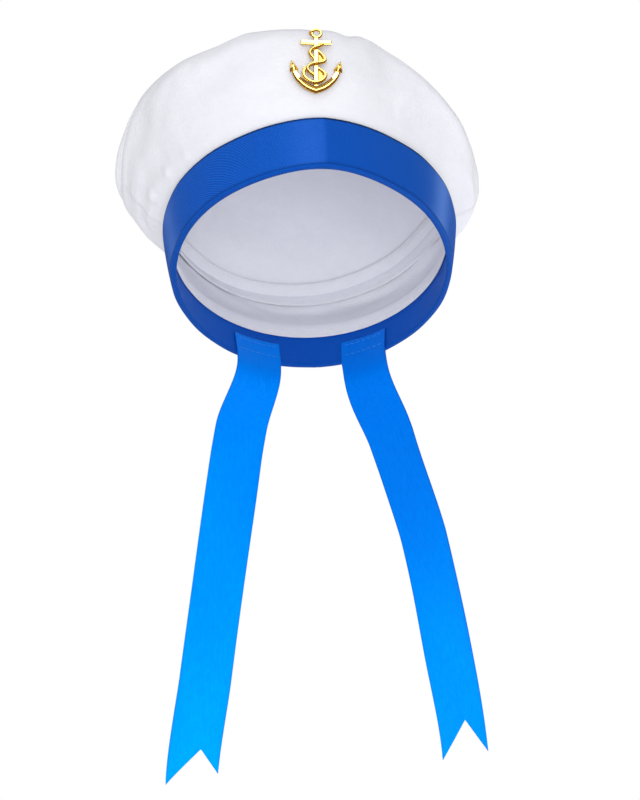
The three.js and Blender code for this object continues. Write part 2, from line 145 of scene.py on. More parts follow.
def crown_top(deg, s):
    """Middle of the crown's top cloth: s 0 at the seam round it, 1 at its middle."""
    deg, s = np.broadcast_arrays(np.asarray(deg, float), np.asarray(s, float))
    edge = crown_wall(deg, np.ones_like(deg))
    rise = 1 - (1 - s) ** TOP["fullness"]
    x = lerp(edge[..., 0], TOP["x"], s)
    y = lerp(edge[..., 1], TOP["y"], s)
    z = lerp(edge[..., 2], TOP["z"], rise) + TOP["roll"] * np.sin(math.pi * np.minimum(1, s / TOP["roll_span"]))
    return np.stack([x, y, z], -1)


_p, _r = math.radians(TIPPED_BACK), math.radians(-SIDE_UP)
WORN = (np.array([[math.cos(_r), 0, math.sin(_r)], [0, 1, 0], [-math.sin(_r), 0, math.cos(_r)]])
        @ np.array([[1, 0, 0], [0, math.cos(_p), math.sin(_p)], [0, -math.sin(_p), math.cos(_p)]]))


def worn(points):
    """From the cap's own frame to the row frame, both in millimetres."""
    return np.asarray(points, float) @ WORN.T


def unit(v):
    return v / np.maximum(np.linalg.norm(v, axis=-1, keepdims=True), 1e-12)


class Waves:
    """Soft unevenness of cloth: a few seeded waves through space."""

    def __init__(self, wavelength, count=14, spread=0.45):
        k = RNG.normal(size=(count, 3))
        k = k / np.linalg.norm(k, axis=1, keepdims=True)
        self.k = k * (2 * math.pi / (wavelength * RNG.uniform(1 - spread, 1 + spread, (count, 1))))
        self.phase = RNG.uniform(0, 2 * math.pi, count)
        self.gain = (2 / count) ** 0.5

    def __call__(self, p):
        return self.gain * np.sin(p @ self.k.T + self.phase).sum(-1)


# ------------------------------------------------------------------ meshes
def make(name, verts_mm, faces, uv=None, floats=None, smooth=True, material=None):
    """A mesh object from points in the row frame, in millimetres."""
    mesh = bpy.data.meshes.new(name)
    mesh.from_pydata((np.asarray(verts_mm, float) * 0.001).tolist(), [], faces if isinstance(faces, list) else faces.tolist())
    mesh.update()
    loops = np.zeros(len(mesh.loops), np.int32)
    mesh.loops.foreach_get("vertex_index", loops)
    if uv is not None:
        layer = mesh.uv_layers.new(name="cut")
        layer.data.foreach_set("uv", (np.asarray(uv, float)[loops] * 0.001).astype(np.float32).ravel())
    for key, values in (floats or {}).items():
        mesh.attributes.new(key, "FLOAT", "POINT").data.foreach_set("value", np.asarray(values, np.float32))
    mesh.polygons.foreach_set("use_smooth", [smooth] * len(mesh.polygons))
    obj = bpy.data.objects.new(name, mesh)
    bpy.context.scene.collection.objects.link(obj)
    if material is not None:
        mesh.materials.append(material)
    return obj


def quads(rows, cols, wrap=False, start=0, flip=False):
    """Faces of a grid of points, row by row."""
    i, j = np.meshgrid(np.arange(rows - 1), np.arange(cols if wrap else cols - 1), indexing="ij")
    k = (j + 1) % cols
    f = np.stack([i * cols + j, i * cols + k, (i + 1) * cols + k, (i + 1) * cols + j], -1).reshape(-1, 4) + start
    return f[:, ::-1] if flip else f


def strip(a, b, flip=False, wrap=False):
    """Faces between two lines of point numbers."""
    a, b = np.asarray(a), np.asarray(b)
    if wrap:
        a, b = np.append(a, a[0]), np.append(b, b[0])
    f = np.stack([a[:-1], a[1:], b[1:], b[:-1]], -1)
    return f[:, ::-1] if flip else f


def shell(outer, inner, wrap=False):
    """Points and faces of a closed sheet from its two sides, grids (rows, columns, 3). Rows run up and columns to the right, seen from outside."""
    rows, cols = outer.shape[:2]
    n = rows * cols
    verts = np.concatenate([outer.reshape(-1, 3), inner.reshape(-1, 3)])
    at = np.arange(n).reshape(rows, cols)
    faces = [quads(rows, cols, wrap), quads(rows, cols, wrap, n, True),
             strip(at[0], at[0] + n, True, wrap), strip(at[-1], at[-1] + n, False, wrap)]
    if not wrap:
        faces += [strip(at[:, 0], at[:, 0] + n), strip(at[:, -1], at[:, -1] + n, True)]
    return verts, np.concatenate(faces)


def grid_normal(p, wrap=False):
    """Outward normals of a grid whose rows run up and columns to the right, seen from outside."""
    if wrap:
        across = np.roll(p, -1, 1) - np.roll(p, 1, 1)
    else:
        across = np.gradient(p, axis=1)
    return unit(np.cross(across, np.gradient(p, axis=0)))


def tube(path, radius, sides=8, closed=False, twist=None, lobes=0, depth=0.0, reference=(0, 0, 1)):
    """Points and faces of a closed tube along a path; lobes make it a twisted strand."""
    path = np.asarray(path, float)
    n = len(path)
    if closed:
        tangent = unit(np.roll(path, -1, 0) - np.roll(path, 1, 0))
    else:
        tangent = unit(np.gradient(path, axis=0))
    side = np.zeros_like(path)
    first = np.asarray(reference, float)
    if abs(first @ tangent[0]) > 0.9:
        first = np.array([1.0, 0, 0])
    v = unit(first - tangent[0] * (first @ tangent[0]))
    for i in range(n):
        v = unit(v - tangent[i] * (v @ tangent[i]))
        side[i] = v
    other = np.cross(tangent, side)
    if closed:  # spread the turn that is left over along the whole loop
        left = math.atan2(side[0] @ np.cross(tangent[-1], side[-1]), side[0] @ side[-1])
        a = -left * np.arange(n) / n
        side, other = side * np.cos(-a)[:, None] + other * np.sin(-a)[:, None], other * np.cos(-a)[:, None] - side * np.sin(-a)[:, None]
    ang = np.linspace(0, 2 * math.pi, sides, endpoint=False)[None, :]
    r = np.broadcast_to(np.asarray(radius, float).reshape(-1, 1), (n, 1)) * np.ones_like(ang)
    if lobes:
        r = r * (1 - depth * (1 - np.abs(np.cos(lobes * 0.5 * (ang - np.asarray(twist).reshape(-1, 1))))))
    pts = path[:, None, :] + r[..., None] * (np.cos(ang)[..., None] * side[:, None, :] + np.sin(ang)[..., None] * other[:, None, :])
    verts = pts.reshape(-1, 3)
    faces = quads(n, sides, True).tolist()
    if closed:
        faces += strip(np.arange(sides) + (n - 1) * sides, np.arange(sides), False, True).tolist()
        return verts, faces
    verts = np.concatenate([verts, path[:1], path[-1:]])
    a, b = n * sides, n * sides + 1
    for j in range(sides):
        k = (j + 1) % sides
        faces.append([a, k, j])
        faces.append([b, (n - 1) * sides + j, (n - 1) * sides + k])
    return verts, faces


class Heap:
    """Several closed meshes gathered into one."""

    def __init__(self):
        self.verts, self.faces, self.count = [], [], 0

    def add(self, verts, faces):
        self.verts.append(np.asarray(verts, float))
        self.faces += [[int(v) + self.count for v in f] for f in faces]
        self.count += len(verts)

    def points(self):
        return np.concatenate(self.verts)


# ------------------------------------------------------------------ materials
def material(name):
    m = bpy.data.materials.new(name)
    m.use_nodes = True
    nodes = m.node_tree.nodes
    return m, nodes, m.node_tree.links, nodes["Principled BSDF"]


def put(bsdf, **values):
    for key, value in values.items():
        bsdf.inputs[key.replace("_", " ")].default_value = value


def node(nodes, kind, **values):
    n = nodes.new(kind)
    for key, value in values.items():
        if key in n.inputs.keys() or key.replace("_", " ") in n.inputs.keys():
            n.inputs[key if key in n.inputs.keys() else key.replace("_", " ")].default_value = value
        else:
            setattr(n, key, value)
    return n


def maths(nodes, links, operation, a, b=None):
    n = nodes.new("ShaderNodeMath")
    n.operation = operation
    for i, x in enumerate((a, b)):
        if x is None:
            continue
        if isinstance(x, (int, float)):
            n.inputs[i].default_value = x
        else:
            links.new(x, n.inputs[i])
    return n.outputs[0]


def ramp(nodes, links, source, stops):
    n = nodes.new("ShaderNodeValToRGB")
    while len(n.color_ramp.elements) < len(stops):
        n.color_ramp.elements.new(0.5)
    for e, (at, colour) in zip(n.color_ramp.elements, stops):
        e.position = at
        e.color = (*colour, 1)
    links.new(source, n.inputs[0])
    return n.outputs[0]


def white_cloth():
    """Matte white plain weave with a cool cast."""
    m, n, l, bsdf = material("white_cloth")
    put(bsdf, Roughness=0.92, Sheen_Weight=0.06, Sheen_Roughness=0.45, Sheen_Tint=(0.95, 0.96, 1, 1), Specular_IOR_Level=0.12)
    uv = node(n, "ShaderNodeUVMap", uv_map="cut").outputs[0]
    xyz = node(n, "ShaderNodeSeparateXYZ")
    l.new(uv, xyz.inputs[0])
    warp = maths(n, l, "SINE", maths(n, l, "MULTIPLY", xyz.outputs[0], 2 * math.pi / 0.00055))
    weft = maths(n, l, "SINE", maths(n, l, "MULTIPLY", xyz.outputs[1], 2 * math.pi / 0.00055))
    weave = maths(n, l, "MULTIPLY", warp, weft)
    slub = node(n, "ShaderNodeTexNoise", Scale=900.0, Detail=3.0)
    soft = node(n, "ShaderNodeTexNoise", Scale=28.0, Detail=4.0, Roughness=0.55)
    # painted shade: an attribute darkens the cloth where it goes into a seam, and in a thin line along each seam's turn
    painted_shading_tone = node(n, "ShaderNodeAttribute", attribute_name="painted_shading_tone").outputs["Fac"]
    seam_shaded = node(n, "ShaderNodeVectorMath", operation="SCALE")
    l.new(ramp(n, l, soft.outputs[0], [(0.3, (0.738, 0.740, 0.792)), (0.7, (0.760, 0.762, 0.812))]), seam_shaded.inputs[0])
    l.new(painted_shading_tone, seam_shaded.inputs["Scale"])
    l.new(seam_shaded.outputs[0], bsdf.inputs["Base Color"])
    tall = maths(n, l, "ADD", maths(n, l, "MULTIPLY", weave, 0.35), slub.outputs[0])
    fine = node(n, "ShaderNodeBump", Strength=0.35, Distance=0.00008)
    l.new(tall, fine.inputs["Height"])
    big = node(n, "ShaderNodeBump", Strength=0.35, Distance=0.0009)
    crease = node(n, "ShaderNodeTexNoise", Scale=95.0, Detail=3.0, Roughness=0.5)
    l.new(crease.outputs[0], big.inputs["Height"])
    l.new(fine.outputs[0], big.inputs["Normal"])
    l.new(big.outputs[0], bsdf.inputs["Normal"])
    return m


def blue_twill():
    """Royal blue twill: ribs follow the 'rib' attribute, in turns, and 'show' says how far they stand up."""
    m, n, l, bsdf = material("blue_twill")
    put(bsdf, Roughness=0.6, Sheen_Weight=0.14, Sheen_Roughness=0.3, Sheen_Tint=(0.15, 0.5, 1, 1), Specular_IOR_Level=0.1, Specular_Tint=(0.1, 0.45, 1, 1))
    rib = node(n, "ShaderNodeAttribute", attribute_name="rib").outputs["Fac"]
    show = node(n, "ShaderNodeAttribute", attribute_name="show").outputs["Fac"]
    yarn = node(n, "ShaderNodeAttribute", attribute_name="yarn").outputs["Fac"]
    jitter = node(n, "ShaderNodeTexNoise", Scale=420.0, Detail=2.0)
    wave = maths(n, l, "SINE", maths(n, l, "ADD", maths(n, l, "MULTIPLY", rib, 2 * math.pi), maths(n, l, "MULTIPLY", jitter.outputs[0], 1.6)))
    ribs = maths(n, l, "MULTIPLY", wave, show)
    fleck = node(n, "ShaderNodeTexNoise", Scale=800.0, Detail=4.0, Roughness=0.7)
    grain = maths(n, l, "SUBTRACT", maths(n, l, "MULTIPLY", fleck.outputs[0], 1.9), 0.45)
    across = maths(n, l, "SINE", maths(n, l, "MULTIPLY", yarn, 2 * math.pi))
    tall = maths(n, l, "ADD", maths(n, l, "ADD", maths(n, l, "MULTIPLY", ribs, 0.5), maths(n, l, "MULTIPLY", across, 0.12)), grain)
    shade = maths(n, l, "ADD", maths(n, l, "MULTIPLY", ribs, 0.34), grain)
    face = ramp(n, l, shade, [(0.2, (0.002, 0.044, 0.34)), (0.52, (0.004, 0.084, 0.50)), (0.84, (0.012, 0.148, 0.68))])
    # painted shade and painted light, from an attribute set on the band's mesh
    painted_shading_tone = node(n, "ShaderNodeAttribute", attribute_name="painted_shading_tone").outputs["Fac"]
    shaded_face = node(n, "ShaderNodeVectorMath", operation="SCALE")
    l.new(face, shaded_face.inputs[0])
    l.new(painted_shading_tone, shaded_face.inputs["Scale"])
    # painted highlight: where the surface catches the light, the colour is mixed towards pale blue
    painted_sheen = node(n, "ShaderNodeAttribute", attribute_name="painted_sheen").outputs["Fac"]
    pale = node(n, "ShaderNodeMix", data_type="RGBA")
    for socket in pale.inputs:
        if socket.identifier == "A_Color":
            l.new(shaded_face.outputs[0], socket)
        elif socket.identifier == "B_Color":
            socket.default_value = (0.15, 0.31, 0.80, 1)
        elif socket.identifier == "Factor_Float":
            l.new(painted_sheen, socket)
    l.new(next(o for o in pale.outputs if o.identifier == "Result_Color"), bsdf.inputs["Base Color"])
    bump = node(n, "ShaderNodeBump", Strength=0.8, Distance=0.00022)
    l.new(tall, bump.inputs["Height"])
    l.new(bump.outputs[0], bsdf.inputs["Normal"])
    return m


def azure_satin():
    """Bright satin ribbon: fine weft lines, a smooth face and a darker woven edge ('edge' attribute)."""
    m, n, l, bsdf = material("azure_satin")
    put(bsdf, Roughness=0.42, Sheen_Weight=0.03, Sheen_Roughness=0.4, Sheen_Tint=(0.02, 0.6, 1, 1), Specular_IOR_Level=0.1, Specular_Tint=(0.0, 0.5, 1, 1))
    edge = node(n, "ShaderNodeAttribute", attribute_name="edge").outputs["Fac"]
    uv = node(n, "ShaderNodeUVMap", uv_map="cut").outputs[0]
    xyz = node(n, "ShaderNodeSeparateXYZ")
    l.new(uv, xyz.inputs[0])
    soft = node(n, "ShaderNodeTexNoise", Scale=45.0, Detail=5.0, Roughness=0.6)
    # painted light: the colour pales a little towards the tail's free end
    pale = maths(n, l, "MULTIPLY", xyz.outputs[1], -1.35)
    # the 'shade' attribute is painted shade, taken off the colour along with the darker woven edge
    mixed = maths(n, l, "SUBTRACT", maths(n, l, "ADD", maths(n, l, "MULTIPLY", soft.outputs[0], 0.28), maths(n, l, "ADD", pale, 0.28)), maths(n, l, "ADD", maths(n, l, "MULTIPLY", edge, 0.2), node(n, "ShaderNodeAttribute", attribute_name="shade").outputs["Fac"]))
    l.new(ramp(n, l, mixed, [(0.0, (0.0, 0.088, 0.54)), (0.4, (0.0, 0.182, 0.80)), (0.62, (0.0, 0.272, 0.91)), (0.82, (0.0, 0.375, 0.95))]), bsdf.inputs["Base Color"])
    weft = maths(n, l, "SINE", maths(n, l, "MULTIPLY", xyz.outputs[1], 2 * math.pi / 0.0005))
    warp = maths(n, l, "SINE", maths(n, l, "MULTIPLY", xyz.outputs[0], 2 * math.pi / 0.0003))
    speck = node(n, "ShaderNodeTexNoise", Scale=1300.0, Detail=2.0)
    tall = maths(n, l, "ADD", maths(n, l, "ADD", maths(n, l, "MULTIPLY", weft, 0.3), maths(n, l, "MULTIPLY", warp, 0.1)), speck.outputs[0])
    bump = node(n, "ShaderNodeBump", Strength=0.35, Distance=0.00006)
    l.new(tall, bump.inputs["Height"])
    big = node(n, "ShaderNodeBump", Strength=0.25, Distance=0.0006)
    crease = node(n, "ShaderNodeTexNoise", Scale=60.0, Detail=3.0)
    l.new(crease.outputs[0], big.inputs["Height"])
    l.new(bump.outputs[0], big.inputs["Normal"])
    l.new(big.outputs[0], bsdf.inputs["Normal"])
    return m


def gilt():
    """Polished gilt casting; painted shade makes the gold darker and browner low on the casting, near the cloth."""
    m, n, l, bsdf = material("gilt")
    put(bsdf, Metallic=1.0, Specular_IOR_Level=0.5)
    soft = node(n, "ShaderNodeTexNoise", Scale=420.0, Detail=3.0)
    # painted shade: an attribute darkens and browns the gold low on the casting
    painted_low_shade = node(n, "ShaderNodeAttribute", attribute_name="painted_low_shade").outputs["Fac"]
    painted_shading_tone = maths(n, l, "SUBTRACT", soft.outputs[0], maths(n, l, "MULTIPLY", painted_low_shade, 0.8))
    l.new(ramp(n, l, painted_shading_tone, [(0.0, (0.42, 0.20, 0.012)), (0.35, (0.93, 0.63, 0.12)), (0.7, (0.98, 0.75, 0.24))]), bsdf.inputs["Base Color"])
    l.new(ramp(n, l, soft.outputs[0], [(0.2, (0.10, 0.10, 0.10)), (0.8, (0.18, 0.18, 0.18))]), bsdf.inputs["Roughness"])
    bump = node(n, "ShaderNodeBump", Strength=0.25, Distance=0.00005)
    l.new(soft.outputs[0], bump.inputs["Height"])
    l.new(bump.outputs[0], bsdf.inputs["Normal"])
    return m


def plated_pin():
    """Plain plated metal, lightly brushed."""
    m, n, l, bsdf = material("plated_pin")
    put(bsdf, Metallic=1.0)
    brush = node(n, "ShaderNodeTexNoise", Scale=900.0, Detail=4.0)
    l.new(ramp(n, l, brush.outputs[0], [(0.3, (0.52, 0.52, 0.54)), (0.7, (0.66, 0.66, 0.68))]), bsdf.inputs["Base Color"])
    l.new(ramp(n, l, brush.outputs[0], [(0.2, (0.26, 0.26, 0.26)), (0.8, (0.42, 0.42, 0.42))]), bsdf.inputs["Roughness"])
    bump = node(n, "ShaderNodeBump", Strength=0.2, Distance=0.00005)
    l.new(brush.outputs[0], bump.inputs["Height"])
    l.new(bump.outputs[0], bsdf.inputs["Normal"])
    return m


def thread(name, dark, light):
    """Twisted sewing thread."""
    m, n, l, bsdf = material(name)
    put(bsdf, Roughness=0.7, Sheen_Weight=0.3, Sheen_Roughness=0.4)
    ply = node(n, "ShaderNodeTexNoise", Scale=2600.0, Detail=2.0)
    l.new(ramp(n, l, ply.outputs[0], [(0.3, dark), (0.7, light)]), bsdf.inputs["Base Color"])
    bump = node(n, "ShaderNodeBump", Strength=0.5, Distance=0.00008)
    l.new(ply.outputs[0], bump.inputs["Height"])
    l.new(bump.outputs[0], bsdf.inputs["Normal"])
    return m


WHITE, TWILL, SATIN, GILT, PIN = white_cloth(), blue_twill(), azure_satin(), gilt(), plated_pin()
WHITE_THREAD = thread("white_thread", (0.74, 0.74, 0.78), (0.86, 0.86, 0.89))
BLUE_THREAD = thread("blue_thread", (0.01, 0.16, 0.62), (0.02, 0.24, 0.8))

# ------------------------------------------------------------------ crown cloth
SOFT, FINE = Waves(62), Waves(24)
SEAMS = (-86.0, 90.0)          # where the two side seams come down
LAP = dict(deg=-87.0, spread=17.0, share=0.11)   # at one side the top cloth rolls over the edge, down to the seam

# soft ridges (+) and hollows (-) in the upright cloth: from one point to another, each an angle
# and a share of the way up, with a half-width and a height in millimetres
WALL_FOLDS = (
    (-92, 0.50, -76, 0.487, 3.4, 1.5),
    (-76, 0.487, -62, 0.461, 3.3, 1.3),
    (-62, 0.461, -50, 0.443, 3.2, 0.9),
    (-92, 0.575, -74, 0.56, 4.4, -0.6),
    (-74, 0.56, -60, 0.525, 4.4, -0.45),
    (-50, 0.443, -36, 0.43, 3.2, 0.5),
    (-99, 0.62, -96, 0.98, 11.0, 2.0),
    (-36, 0.66, -14, 0.64, 7.0, -0.7),
    (-34, 0.76, -12, 0.79, 4.5, 0.7),
    (37, 0.53, 46, 0.76, 3.0, 0.8),
    (44, 0.50, 52, 0.70, 4.0, -0.6),
    (-60, 0.55, -48, 0.74, 6.0, -0.6),
    (-20, 0.50, -6, 0.47, 5.0, 0.4),
    (70, 0.55, 84, 0.62, 6.0, 0.7),
    (118, 0.55, 128, 0.85, 7.0, -0.9),
    (150, 0.60, 170, 0.72, 8.0, 1.0),
    (-160, 0.55, -140, 0.70, 8.0, -0.9),
)


def fold(q):
    """How cloth goes round a seam: q is the distance past the seam's turn. Gives how far it still lies before the seam, and how deep inside."""
    q = np.asarray(q, float)
    a = np.clip(q / TURN, 0, math.pi)
    before = np.where(q <= 0, TURN - q, TURN - TURN * np.sin(a) + np.maximum(0, q - math.pi * TURN))
    deep = np.where(q <= 0, 0, TURN * (1 - np.cos(a)))
    return before, deep


def past_seam(lead, fine):
    """Distances before (minus) and past the seam's turn, closer together near it."""
    return np.concatenate([np.linspace(-lead, 0, fine, endpoint=False), np.linspace(0, math.pi * TURN, 9, endpoint=False),
                           np.linspace(math.pi * TURN, math.pi * TURN + ALLOWANCE, 6)])


def seam_share(deg):
    """How far up the upright cloth the seam round the top lies."""
    return 1 - LAP["share"] * np.exp(-((turned(deg, LAP["deg"]) / LAP["spread"]) ** 2))


class Surface:
    """Cloth's middle surface by column and by distance from the seam round the top. lines is (columns, samples, 3), from the seam on."""

    def __init__(self, lines, outward, wrap, extra):
        self.lines, self.extra = lines, extra
        steps = np.linalg.norm(np.diff(lines, axis=1), axis=2)
        self.run = np.concatenate([np.zeros((len(lines), 1)), np.cumsum(steps, 1)], 1)
        self.total = self.run[:, -1]
        across = np.roll(lines, -1, 0) - np.roll(lines, 1, 0) if wrap else np.gradient(lines, axis=0)
        self.normal = unit(np.cross(across, np.gradient(lines, axis=1))) * outward

    def at(self, before):
        """Places, outward normals and the extra value at distances (rows, columns) before the seam."""
        p, n, e = np.empty(before.shape + (3,)), np.empty(before.shape + (3,)), np.empty(before.shape)
        for j in range(before.shape[1]):
            for k in range(3):
                p[:, j, k] = np.interp(before[:, j], self.run[j], self.lines[j, :, k])
                n[:, j, k] = np.interp(before[:, j], self.run[j], self.normal[j, :, k])
            e[:, j] = np.interp(before[:, j], self.run[j], self.extra[j])
        return p, unit(n), e


def fold_field(deg, t, rows):
    """Height of the ridges and hollows listed in rows, in millimetres."""
    total = 0.0
    for d0, t0, d1, t1, half, tall in rows:
        ax, ay = 1.75 * turned(deg, d0), 95.0 * (t - t0)
        bx, by = 1.75 * (d1 - d0), 95.0 * (t1 - t0)
        along_it = (ax * bx + ay * by) / (bx * bx + by * by)
        near = np.clip(along_it, 0, 1)
        away = np.hypot(ax - near * bx, ay - near * by)
        total = total + tall * np.exp(-((away / half) ** 2))
    return total


def puckers(deg, away, reach, tall):
    """Small gathers along the seam round the top."""
    s = np.asarray(deg, float)
    beat = np.sin(np.radians(s * 31) + 1.3 * np.sin(np.radians(s * 5 + 40))) + 0.6 * np.sin(np.radians(s * 47) + 2.0 * np.sin(np.radians(s * 3)))
    return tall * beat * np.exp(-np.maximum(away, 0) / reach)


def wall_panel(name, start, end):
    """One upright panel of the crown: tucked in at the band, turned in at the side seams and at the top seam."""
    per_deg = 1.72
    side = past_seam(5, 9)
    middle = np.linspace(start + (TURN + 5) / per_deg, end - (TURN + 5) / per_deg, 236)
    left_before, left_deep = fold(side[::-1])
    right_before, right_deep = fold(side)
    base = np.concatenate([start + left_before / per_deg, middle[1:-1], end - right_before / per_deg])
    deep_u = np.concatenate([left_deep, np.zeros(len(middle) - 2), right_deep])
    # columns in order, so that their normals can be worked out, then each folded column taken from them
    order = np.linspace(start - 1, end + 1, 400)
    share = np.linspace(0, 1, 240)[None, :]
    t_lines = seam_share(order)[:, None] * (1 - share)
    surface = Surface(crown_wall(order[:, None], t_lines), -1.0, False, t_lines)
    where = np.interp(base, order, np.arange(len(order)))
    low_i = np.clip(np.floor(where).astype(int), 0, len(order) - 2)
    part = where - low_i
    mix = lambda a: a[low_i] * (1 - part).reshape((-1,) + (1,) * (a.ndim - 1)) + a[low_i + 1] * part.reshape((-1,) + (1,) * (a.ndim - 1))  # noqa: E731
    surface.lines, surface.run, surface.normal, surface.extra, surface.total = (
        mix(surface.lines), mix(surface.run), mix(surface.normal), mix(surface.extra), mix(surface.total))
    top = past_seam(6, 11)
    top_before, top_deep = fold(top)
    rows = np.linspace(0, 1, 92, endpoint=False)[:, None]
    first = top_before[0]
    low = (surface.total[None, :] - first) * (1 - rows) + first
    before = np.concatenate([low, np.repeat(top_before[:, None], len(base), 1)])
    deep_v = np.concatenate([np.zeros(len(rows)), top_deep])
    deg = np.repeat(base[None, :], len(before), 0)
    mid, normal, t = surface.at(before)
    deep = deep_u[None, :] + deep_v[:, None]
    flat = np.exp(-((deep / 0.5) ** 2))
    side_away = np.minimum(np.abs(turned(deg, start)), np.abs(turned(deg, end))) * per_deg
    up = surface.total[None, :] - before
    lift = (0.4 * SOFT(mid) + 0.16 * FINE(mid)) * smoothstep(up, 14, 34) * smoothstep(before, 0, 12)
    lift += puckers(deg, before, 6.0, 0.09)
    lift += 0.1 * np.sin(t * 58 + 3 * np.sin(t * 9)) * np.exp(-side_away / 6) * smoothstep(t, 0.35, 0.5)
    lift += fold_field(deg, t, WALL_FOLDS) * smoothstep(up, 11, 18)
    lift += 0.3 * np.exp(-(((before - 4.0) / 2.6) ** 2)) + 0.25 * np.exp(-(((side_away - 3.6) / 2.4) ** 2)) * smoothstep(t, 0.35, 0.5)
    mid = mid + normal * (CLOTH / 2 - SKIN / 2 + lift * flat - deep)[..., None]
    # turned-in cloth has its face the other way: take the sides from the folded grid itself
    facing = grid_normal(mid)
    outer, inner = mid + facing * SKIN / 2, mid - facing * SKIN / 2
    verts, faces = shell(outer, inner)
    uv = np.stack([deg * per_deg, -before], -1).reshape(-1, 2)
    into = np.maximum(deep_u[None, :], deep_v[:, None])
    # painted shade: darker where the cloth goes deep into a seam, and a painted shadow line along each seam's turn
    painted_shading_tone = 1 - 0.42 * smoothstep(into, 0.1, 0.7) * (1 - smoothstep(into, 1.5, 1.59))
    painted_shading_tone = painted_shading_tone - 0.07 * np.maximum(np.exp(-(((before - TURN) / 0.9) ** 2)) * (deep_v[:, None] < 0.05), np.exp(-(((side_away - TURN) / 0.9) ** 2)) * (deep_u[None, :] < 0.05)) * (into < 0.05)
    obj = make(name, worn(verts), faces, np.concatenate([uv, uv]), {"painted_shading_tone": np.concatenate([painted_shading_tone.ravel()] * 2)}, material=WHITE)
    return obj, mid, facing


def top_panel(name):
    """The top cloth: turned in at the seam round it; where it laps over the edge it follows the upright cloth down."""
    cols = 380
    deg1 = np.linspace(-180, 180, cols, endpoint=False)
    k = np.linspace(0, 1, 40)[None, :]
    ts = seam_share(deg1)[:, None]
    lap = crown_wall(deg1[:, None], ts + (1 - ts) * k)
    s = np.linspace(0, 0.985, 400)
    lid = crown_top(deg1[:, None], s[None, :])
    lid[..., 2] += 1.3 * smoothstep(s, 0.0, 0.03)[None, :]
    lines = np.concatenate([lap[:, :-1], lid], 1)
    # even spacing, then ease the corner where the lap goes over into the lid
    even = np.empty((cols, 460, 3))
    for j in range(cols):
        run = np.concatenate([[0], np.cumsum(np.linalg.norm(np.diff(lines[j], axis=0), axis=1))])
        at = np.linspace(0, run[-1], 460)
        for c in range(3):
            even[j, :, c] = np.interp(at, run, lines[j, :, c])
    lapped = ((1 - seam_share(deg1)) / LAP["share"])[:, None]
    ease = smoothstep(np.arange(460), 0, 9)[None, :, None] * (1 - smoothstep(np.arange(460), 50, 80))[None, :, None] * np.minimum(1, 3 * lapped)[..., None]
    for _ in range(40):
        pad = np.concatenate([even[:, :1], even, even[:, -1:]], 1)
        even = even + ease * 0.5 * (0.5 * (pad[:, :-2] + pad[:, 2:]) - even)
    surface = Surface(even, 1.0, True, np.repeat(np.linspace(0, 1, 460)[None, :], cols, 0))
    seam = past_seam(6, 11)
    seam_before, seam_deep = fold(seam)
    rows = np.linspace(0, 1, 86)[1:, None]
    first = seam_before[0]
    main = first + (surface.total[None, :] - first) * rows
    before = np.concatenate([np.repeat(seam_before[::-1][:, None], cols, 1), main])
    deep_v = np.concatenate([seam_deep[::-1], np.zeros(len(rows))])[:, None]
    deg = np.repeat(deg1[None, :], len(before), 0)
    mid, normal, along_it = surface.at(before)
    flat = np.exp(-((deep_v / 0.5) ** 2))
    lift = (0.9 * SOFT(mid) + 0.3 * FINE(mid)) * smoothstep(before, 4, 32) + puckers(deg, before, 7.0, 0.1)
    lift += 0.3 * np.exp(-(((before - 4.0) / 2.6) ** 2))
    lift += 1.5 * lapped.T * np.exp(-(((before - 6.0) / 4.0) ** 2))
    lift = lift * flat * smoothstep(1 - along_it, 0.0, 0.1)
    mid = mid + normal * (CLOTH / 2 - SKIN / 2 + lift - deep_v)[..., None]
    facing = grid_normal(mid, True)
    outer, inner = mid + facing * SKIN / 2, mid - facing * SKIN / 2
    n_rows = len(before)
    n = n_rows * cols
    verts = np.concatenate([outer.reshape(-1, 3), inner.reshape(-1, 3), outer[-1].mean(0)[None], inner[-1].mean(0)[None]])
    at = np.arange(n).reshape(n_rows, cols)
    faces = np.concatenate([quads(n_rows, cols, True), quads(n_rows, cols, True, n, True), strip(at[0], at[0] + n, True, True)]).tolist()
    a, b = 2 * n, 2 * n + 1
    for j in range(cols):
        i = (j + 1) % cols
        faces.append([int(at[-1, j]), int(at[-1, i]), a])
        faces.append([int(at[-1, i]) + n, int(at[-1, j]) + n, b])
    # painted shade: darker where the cloth goes deep into a seam, and a painted shadow line along each seam's turn
    painted_shading_tone = (1 - 0.42 * smoothstep(deep_v, 0.1, 0.7) * (1 - smoothstep(deep_v, 1.5, 1.59))) + 0 * before
    painted_shading_tone = painted_shading_tone - 0.07 * np.exp(-(((before - TURN) / 0.9) ** 2)) * (deep_v < 0.05)
    painted_shading_tone = np.concatenate([painted_shading_tone.ravel(), painted_shading_tone.ravel(), [1.0, 1.0]])
    obj = make(name, worn(verts), faces, verts[:, :2].copy(), {"painted_shading_tone": painted_shading_tone}, material=WHITE)
    return obj, mid, facing


crown_front, front_mid, front_face = wall_panel("crown_front_cloth", SEAMS[0], SEAMS[1])
crown_back, back_mid, back_face = wall_panel("crown_back_cloth", SEAMS[1], SEAMS[0] + 360)
crown_lid, lid_mid, lid_face = top_panel("crown_top_cloth")

# ------------------------------------------------------------------ band


def band_point(deg, out, up):
    wider = BAND["flare"] * up / BAND["height"]
    return from_oval(deg, out, up, BAND["half_width"] + wider, BAND["half_depth"] + wider)


FRONT_JOIN = 7.6     # angle of the sewn join at the middle of the front


